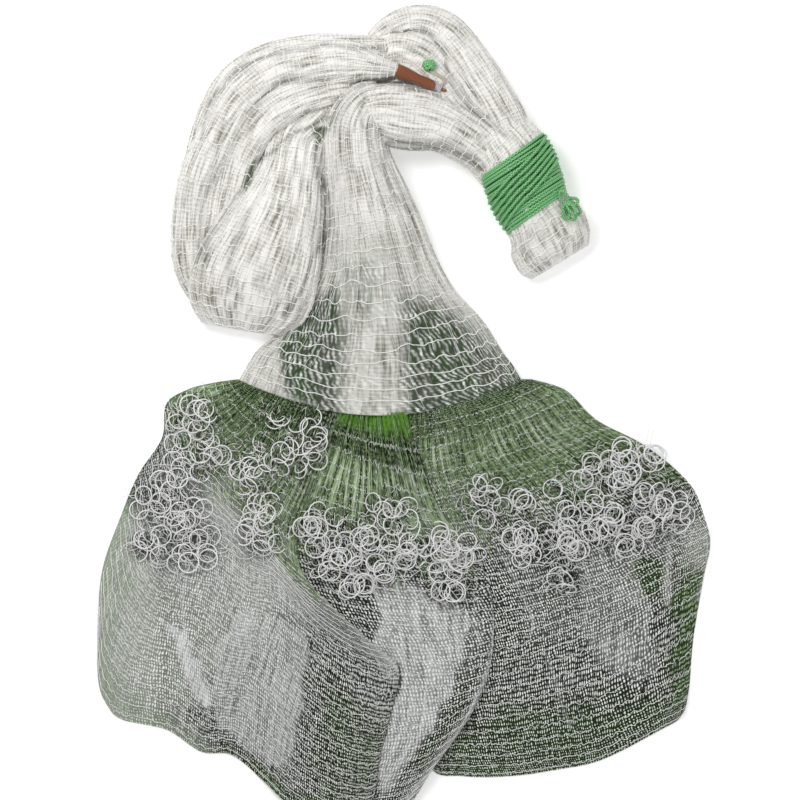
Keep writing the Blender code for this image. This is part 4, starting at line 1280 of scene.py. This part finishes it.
class NET_OT_lobes(bpy.types.Operator):
    """Builds the three lobes of the skirt"""

    bl_idname = "net.lobes"
    bl_label = "Skirt lobes"

    def execute(self, context):
        for lobe in LOBES:
            reach = max(abs(y) for _, y in lobe.hem)
            first, second = lobe.corners
            foot = np.array(lobe.hem[first - 1:second])
            around = float(np.linalg.norm(np.diff(foot, axis=0), axis=1).sum())

            def shape(u, v, lobe=lobe):
                return lobe_surface(lobe, u, 1 - v), lobe_masks(lobe, u, 1 - v)

            sheet = grid_piece(lobe.name + "_netting", LOBE_COLUMNS, LOBE_ROWS, shape,
                               materials()["skirt"], (around, reach))
            settle(sheet, "green_netting", lobe.name)
            rungs = settle(self.rungs(lobe, reach), "green_netting")
            threads = settle(self.threads(lobe), "green_netting")
        return {"FINISHED"}

    def rungs(self, lobe, reach):
        """Rows of knots across a lobe, broken here and there."""
        draw = random.Random(lobe.seed)
        lines = []
        count = int(reach / ROW_PITCH)
        for k in range(2, count + 1):
            a = draw.uniform(0.004, 0.03)
            while a < 0.97:
                b = min(0.996, a + draw.uniform(0.08, 0.5))
                u = np.linspace(a, b, int(5 + 130 * (b - a)))
                shift = 0.0020 * waves(lobe.seed + k, 150 * u)
                shift = shift + 0.0012 * waves(lobe.seed + 90 + k, 430 * u)
                v = np.clip(k / (count + 0.5) + shift / reach, 0.01, 0.995)
                lines.append(lobe_surface(lobe, u, v, STRAND_LIFT))
                a = b + draw.uniform(0.002, 0.03)
        return strands_piece(lobe.name + "_rungs", lines, sizes().rung * LOBE_RUNG, materials()["thread"])

    def threads(self, lobe):
        """Threads that stand out along the pleats under the collar."""
        draw = random.Random(lobe.seed)
        lines = []
        for _ in range(LOBE_THREADS * lobe.pleats):
            a = draw.uniform(0.0, 0.36) ** 1.2
            b = a + draw.uniform(0.03, 0.16)
            v = np.linspace(a, b, 7)
            u = np.clip(draw.random() + 0.003 * waves(draw.randrange(10**6), 40 * v), 0.002, 0.998)
            lines.append(lobe_surface(lobe, u, v, STRAND_LIFT))
        return strands_piece(lobe.name + "_threads", lines, sizes().thread, materials()["green_thread"])


class NET_OT_ties(bpy.types.Operator):
    """Scatters the loose twine round the rings and the fuzz under the collars"""

    bl_idname = "net.ties"
    bl_label = "Loose twine"

    def execute(self, context):
        draw = random.Random(61)
        for side, bunches in BUNCHES.items():
            lines = []
            for bunch in bunches:
                for _ in range(TWINE_BITS * bunch.count):
                    place = self.near(bunch, draw)
                    lines.append(self.bit(side, place, draw, draw.uniform(0.012, 0.034), 0.9))
            ties = strands_piece(f"ties_{side}", lines, 1.6 * sizes().thread, materials()["thread"])
            settle(ties, "white_thread")
        for side, (x0, x1, y0, y1), count in FUZZ:
            lines = [
                self.bit(side, place, draw, draw.uniform(0.006, 0.020), 1.2)
                for place in self.within(side, x0, x1, y0, y1, count, draw)
            ]
            fuzz = strands_piece(f"fuzz_{side}", lines, 0.8 * sizes().thread, materials()["green_thread"])
            settle(fuzz, "green_netting")
        return {"FINISHED"}

    def within(self, side, x0, x1, y0, y1, count, draw):
        """Places in a box that also lie on a lobe."""
        lobe = next(lobe for lobe in LOBES if lobe.name == "skirt_" + side)
        tried = [(draw.uniform(x0, x1), draw.uniform(y0, y1)) for _ in range(count)]
        x, y = np.array(tried).T
        t = np.linspace(0, 1, 60)
        rim = [(0 * t, t), (t, 0 * t + 1), (0 * t + 1, 1 - t), (1 - t, 0 * t)]
        rim = np.concatenate([lobe_plan(lobe, u, v) for u, v in rim])
        outline = [tuple(place) for place in rim]
        kept = inside(x, y, outline) & (off_line(x, y, outline) > FUZZ_INSET)
        return [place for place, keep in zip(tried, kept) if keep]

    def near(self, bunch, draw):
        """A place in a bunch of rings or just outside it."""
        a = draw.uniform(0, 2 * math.pi)
        reach = TWINE_SPREAD * math.sqrt(draw.random())
        x = bunch.x + bunch.half_x * reach * math.cos(a)
        y = bunch.y + bunch.half_y * reach * math.sin(a)
        return x, y

    def bit(self, side, place, draw, length, curl):
        """A short curved thread that lies on a lobe."""
        t = np.linspace(-0.5, 0.5, 5)
        way = draw.uniform(0, 2 * math.pi) + draw.uniform(-3, 3) * curl * t
        step = length / 4
        x = place[0] + np.cumsum(np.cos(way)) * step
        y = place[1] + np.cumsum(np.sin(way)) * step
        z = HEIGHTS["skirt_" + side](x, y) + TWINE_LIFT + 0.003 * np.cos(2 * math.pi * t + place[0] * 900)
        return np.stack([x, y, z], -1) - PLAN_CENTRE


class NET_OT_rings(bpy.types.Operator):
    """Scatters the ring sinkers in their bunches"""

    bl_idname = "net.rings"
    bl_label = "Ring sinkers"

    def execute(self, context):
        nodes = sorted(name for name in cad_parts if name.startswith("ring_"))
        share = len(nodes) // len(BUNCHES)
        base = self.one_ring()
        for number, (side, bunches) in enumerate(BUNCHES.items()):
            piece = self.scatter(side, bunches, base, 100 + number)
            settle(piece, "ring_steel", *nodes[share * number:share * (number + 1)])
        bpy.data.meshes.remove(base)
        return {"FINISHED"}

    def one_ring(self):
        """A ring of wire, with few faces because it is laid hundreds of times."""
        bm = bmesh.new()
        across = Matrix.Translation((sizes().ring, 0.0, 0.0)) @ Matrix.Rotation(math.pi / 2, 4, "X")
        made = bmesh.ops.create_circle(bm, segments=4, radius=sizes().wire, matrix=across)
        edges = list({edge for vert in made["verts"] for edge in vert.link_edges})
        bmesh.ops.spin(bm, geom=made["verts"] + edges, cent=(0, 0, 0), axis=(0, 0, 1),
                       angle=2 * math.pi, steps=18, use_merge=True)
        bmesh.ops.recalc_face_normals(bm, faces=bm.faces)
        mesh = bpy.data.meshes.new("one ring")
        bm.to_mesh(mesh)
        bm.free()
        return mesh

    def scatter(self, side, bunches, base, seed):
        """The rings of one lobe, laid and tipped at random in their bunches."""
        draw = random.Random(seed)
        height = HEIGHTS["skirt_" + side]
        bm = bmesh.new()
        for bunch in bunches:
            for _ in range(round(CROWD * bunch.count)):
                a = draw.uniform(0, 2 * math.pi)
                reach = BUNCH_SPREAD * math.sqrt(draw.random())
                dx = bunch.half_x * reach * math.cos(a)
                dy = bunch.half_y * reach * math.sin(a)
                x = bunch.x + dx * math.cos(bunch.turn) - dy * math.sin(bunch.turn)
                y = bunch.y + dx * math.sin(bunch.turn) + dy * math.cos(bunch.turn)
                lies = draw.random() < LYING_SHARE
                tip = draw.uniform(0.05, bunch.tip) if lies else draw.uniform(*STEEP_TIP)
                lean = Euler((tip, 0.0, draw.uniform(0, 2 * math.pi)), "ZYX").to_matrix().to_4x4()
                spin = Matrix.Rotation(draw.uniform(0, 2 * math.pi), 4, "Z")
                rise = float(height(x, y)) + draw.uniform(0.001, 0.007)
                rise += sizes().ring * math.sin(tip) * 0.75
                rise = max(rise, 0.0016 + 1.1 * sizes().ring * math.sin(tip))
                size = Matrix.Scale(draw.uniform(0.92, 1.08), 4)
                place = Matrix.Translation(Vector((x, y, rise)) - Vector(PLAN_CENTRE))
                first = len(bm.verts)
                bm.from_mesh(base)
                bm.verts.ensure_lookup_table()
                bmesh.ops.transform(bm, matrix=place @ spin @ lean @ size, verts=bm.verts[first:])
        return finish_mesh(f"ring_sinkers_{side}", bm, materials()["steel"])


TIED_WRAP = (2 / 9, 5 / 9)  # the part of the tied end that the hand line covers
TIED_RUN = RUNS[-1]
CROSSING_TURNS = 6
SHADE_SHEET_INSET = 0.014  # how far inside the wrap's ends the dark sheet of painted shade stops
SHADE_SHEET_LIFT = 0.0022  # of the painted shade sheet off the netting


def on_tied_end(u, v, out):
    """Points round the tied end, a distance out from it."""
    smooth = TIED_RUN._replace(depth=0.0)
    return run_surface(smooth, u, v, out)


class NET_OT_hand_line(bpy.types.Operator):
    """Winds the hand line round the tied end"""

    bl_idname = "net.hand_line"
    bl_label = "Hand line"

    def execute(self, context):
        radius = sizes().cord
        first, last = TIED_WRAP
        turns = sizes().turns
        t = np.linspace(0, 1, turns * 48)
        u = (t * turns + 0.75) % 1.0
        v = first + 0.006 + (last - first - 0.012) * t
        sway = 0.004 * waves(5, 2.1 * t * turns, 1.0)
        wound = [on_tied_end(u, v + sway * (1 - np.abs(2 * t - 1)), 0.7 * radius)]
        for k in range(CROSSING_TURNS):
            t = np.linspace(0, 1, 56)
            a, b = first + 0.02 + 0.024 * k, first + 0.15 + 0.030 * k
            u = (0.54 - 0.58 * t) % 1.0
            v = a + (b - a) * (0.5 - 0.5 * np.cos(math.pi * (1 - t)))
            out = radius * (0.4 + 2.3 * np.sqrt(np.clip(np.sin(math.pi * t), 0, 1)))
            wound.append(on_tied_end(u, np.clip(v, first, last), out))
        pieces = [
            swept_piece(f"turns_{k}", path, radius, materials()["braid"])
            for k, path in enumerate(wound)
        ]
        settle(join(pieces, "hand_line_turns"), "green_braid", "hand_line_wrap")

        # A dark sheet just under the turns: painted shade that shows in the grooves between them.
        def shape(u, v):
            inner = first + SHADE_SHEET_INSET + (last - first - 2 * SHADE_SHEET_INSET) * v
            return on_tied_end(u % 1.0, inner, SHADE_SHEET_LIFT), {}

        under = grid_piece("hand_line_shade_sheet", 48, 12, shape, materials()["under"], closed=True)
        settle(under, "green_braid")
        return {"FINISHED"}


# The loops of the hand line's knot: which way each points, and how wide and long it is.
KNOT_LOOPS = [
    (-1.15, 0.0065, 0.030), (-0.70, 0.0070, 0.027), (-1.60, 0.0060, 0.027), (0.15, 0.0055, 0.018),
    (2.10, 0.0060, 0.020), (-0.95, 0.0040, 0.022),
]


class NET_OT_hand_knot(bpy.types.Operator):
    """Ties the hand line off in its looped knot"""

    bl_idname = "net.hand_knot"
    bl_label = "Hand line knot"

    def execute(self, context):
        low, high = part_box("hand_line_knot")
        centre = (low + high) / 2
        pieces = []
        for k, (way, wide, long) in enumerate(KNOT_LOOPS):
            turn = np.linspace(0, 2 * math.pi, 44)
            out = long * (1 - np.cos(turn)) / 2
            across = wide * np.sin(turn)
            x = centre.x - 0.006 + out * math.cos(way) - across * math.sin(way)
            y = centre.y + 0.004 + out * math.sin(way) + across * math.cos(way)
            z = centre.z + 0.006 + 0.0022 * k + 0.0035 * np.sin(turn + k)
            path = np.stack([x, y, z], -1)
            pieces.append(swept_piece(f"loop_{k}", path, sizes().cord, materials()["braid"]))
        settle(join(pieces, "hand_line_loops"), "green_braid", "hand_line_knot")
        return {"FINISHED"}


WHIPPING_START = Vector((-0.009, 0.553, 0.0655))
WHIPPING_END = Vector((0.052, 0.527, 0.0685))
WHIPPING_TURNS = 25
TWINE_RADIUS = 0.00125
KNOT_CORD = 0.0024
LOOP_CORD = 0.0013
LASHING_TURNS = 6


class NET_OT_apex(bpy.types.Operator):
    """Whips the gathered top of the net and ties its fittings"""

    bl_idname = "net.apex"
    bl_label = "Apex whipping and fittings"

    def execute(self, context):
        centre = Vector(PLAN_CENTRE)
        start, end = WHIPPING_START - centre, WHIPPING_END - centre
        way = (end - start).normalized()
        side = Vector((-way.y, way.x, 0.0)).normalized()
        up = side.cross(way)
        reach = (end - start).length
        start, end, way, side, up = (np.array(vector) for vector in (start, end, way, side, up))
        t = np.linspace(0, 1, WHIPPING_TURNS * 24)
        radius = 0.0098 - 0.0036 * t + 0.0006 * np.sin(9 * t)
        turn = 2 * math.pi * WHIPPING_TURNS * t
        path = start + np.outer(t * reach, way)
        path += side * (radius * np.cos(turn))[:, None] + up * (radius * np.sin(turn))[:, None]
        core_t = np.linspace(0, 1, 24)
        core = start + np.outer(core_t * (reach + 0.019), way)
        core_radius = np.interp(core_t, (0, 0.76, 0.8, 1), (0.0086, 0.0050, 0.0040, 0.0024))
        twine = [
            swept_piece("whipping_turns", path, TWINE_RADIUS, materials()["twine"], 6),
            swept_piece("whipping_core", core, core_radius, materials()["twine"], 14),
        ]
        settle(join(twine, "apex_whipping_twine"), "brown_twine", "apex_whipping")
        self.knot()
        self.loop()
        self.lashing(end, way, side, up)
        return {"FINISHED"}

    def knot(self):
        """The round knot of braided cord."""
        low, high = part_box("apex_knot")
        centre = np.array((low + high) / 2)
        pieces = []
        for k in range(6):
            turn = np.linspace(0, 2 * math.pi * 0.97, 36)
            reach = 0.0082 + 0.0006 * np.sin(3 * turn + k)
            rise = 0.0016 * np.sin(2 * turn + k)
            ring = np.stack([reach * np.cos(turn), reach * np.sin(turn), rise], -1)
            lean = np.array(Euler((0.5 + 0.52 * k, 0.35 * k, 1.05 * k)).to_matrix())
            path = ring @ lean.T + centre
            pieces.append(swept_piece(f"knot_{k}", path, KNOT_CORD, materials()["braid"]))
        settle(join(pieces, "apex_cord_knot"), "green_braid", "apex_knot")

    def loop(self):
        """Three strands of pale cord side by side."""
        low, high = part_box("apex_loop")
        z = high.z + 0.0004
        pieces = []
        for k in range(3):
            a = Vector((low.x - 0.003 + 0.0018 * k, high.y + 0.002, z + 0.003))
            b = Vector((low.x + 0.010 + 0.003 * k, high.y - 0.006, z + 0.004))
            c = Vector((high.x - 0.004 + 0.0012 * k, (low.y + high.y) / 2 - 0.002 * k, z + 0.003))
            d = Vector((high.x - 0.006 - 0.003 * k, low.y + 0.001, z + 0.004))
            path = evenly([a, b, c, d], np.linspace(0, 1, 26))
            pieces.append(swept_piece(f"strand_{k}", path, LOOP_CORD, materials()["cream"]))
        settle(join(pieces, "apex_loop_cord"), "cream_cord", "apex_loop")

    def lashing(self, end, way, side, up):
        """White thread round the whipping's end, and the tail it leaves."""
        turn = np.linspace(0, 2 * math.pi * LASHING_TURNS, 150)
        far = np.linspace(-0.006, 0.010, len(turn))
        reach = 0.0052 + 0.0012 * np.sin(2.2 * turn)
        path = end + np.outer(far, way) + side * (reach * 1.1 * np.cos(turn))[:, None]
        path += up * (reach * np.sin(turn))[:, None] + side * 0.001
        last = path[-1]
        bends = [last, last + 0.006 * way - 0.004 * side, last + 0.004 * way - 0.010 * side]
        tail = evenly(bends, np.linspace(0, 1, 14))
        pieces = [
            swept_piece("lashing_turns", path, 0.0011, materials()["lashing"], 6),
            swept_piece("lashing_tail", tail, 0.0010, materials()["lashing"], 6),
        ]
        settle(join(pieces, "apex_lashing_thread"), "white_thread", "apex_lashing")


FLOOR_HALF = 6.0
VIEW_MIDDLE = (-0.0054, 0.0314)  # the place on the floor under the camera
SENSOR = 36.0  # the width of the camera's sensor, in millimetres


class NET_OT_stage(bpy.types.Operator):
    """Lays the pale floor and sets the lights and the camera"""

    bl_idname = "net.stage"
    bl_label = "Stage"

    def execute(self, context):
        look = context.scene.net_stage
        made, _, shader = new_material("pale floor", 0.9)
        shader.inputs["Base Color"].default_value = (0.93, 0.93, 0.93, 1.0)
        shader.inputs["Emission Color"].default_value = (1.0, 1.0, 1.0, 1.0)
        shader.inputs["Emission Strength"].default_value = 0.28
        bm = bmesh.new()
        bmesh.ops.create_grid(bm, x_segments=1, y_segments=1, size=FLOOR_HALF)
        floor = finish_mesh("floor", bm, made)
        self.lamp("key", (-0.9, 1.3, 1.9), look.key, 0.9)
        self.lamp("fill", (1.6, -0.6, 2.2), 0.35 * look.key, 1.6)
        world = bpy.data.worlds.new("soft sky")
        world.use_nodes = True
        world.node_tree.nodes["Background"].inputs["Color"].default_value = (1.0, 1.0, 1.0, 1.0)
        world.node_tree.nodes["Background"].inputs["Strength"].default_value = look.sky
        context.scene.world = world
        camera = bpy.data.objects.new("camera", bpy.data.cameras.new("camera"))
        context.scene.collection.objects.link(camera)
        camera.location = (*VIEW_MIDDLE, look.height)
        camera.data.sensor_width = SENSOR
        camera.data.lens = SENSOR * look.height / look.width
        camera.data.clip_end = 50.0
        context.scene.camera = camera
        context.scene.view_settings.view_transform = "Standard"
        return {"FINISHED"}

    def lamp(self, name, place, power, size):
        """A square light that points at the middle of the floor."""
        light = bpy.data.lights.new(name, "AREA")
        light.energy = power
        light.size = size
        lamp = bpy.data.objects.new(name, light)
        lamp.location = place
        lamp.rotation_euler = (-Vector(place)).to_track_quat("-Z", "Y").to_euler()
        bpy.context.scene.collection.objects.link(lamp)


STEPS = (
    NET_OT_runs, NET_OT_lobes, NET_OT_rings, NET_OT_ties,
    NET_OT_hand_line, NET_OT_hand_knot, NET_OT_apex, NET_OT_stage,
)


class NET_PT_panel(bpy.types.Panel):
    """Lists the steps that build the net"""

    bl_idname = "NET_PT_panel"
    bl_label = "Cast net"
    bl_space_type = "VIEW_3D"
    bl_region_type = "UI"
    bl_category = "Net"

    def draw(self, context):
        for step in STEPS:
            self.layout.operator(step.bl_idname)


CLASSES = (NetSizes, NetColours, StageLook, *STEPS, NET_PT_panel)


def register():
    for made in CLASSES:
        bpy.utils.register_class(made)
    bpy.types.Scene.net_sizes = PointerProperty(type=NetSizes)
    bpy.types.Scene.net_colours = PointerProperty(type=NetColours)
    bpy.types.Scene.net_stage = PointerProperty(type=StageLook)


def unregister():
    del bpy.types.Scene.net_sizes, bpy.types.Scene.net_colours, bpy.types.Scene.net_stage
    for made in reversed(CLASSES):
        bpy.utils.unregister_class(made)


def main():
    register()
    bpy.ops.net.runs()
    bpy.ops.net.lobes()
    bpy.ops.net.rings()
    bpy.ops.net.ties()
    bpy.ops.net.hand_line()
    bpy.ops.net.hand_knot()
    bpy.ops.net.apex()
    bpy.ops.net.stage()


if __name__ == "__main__":
    main()
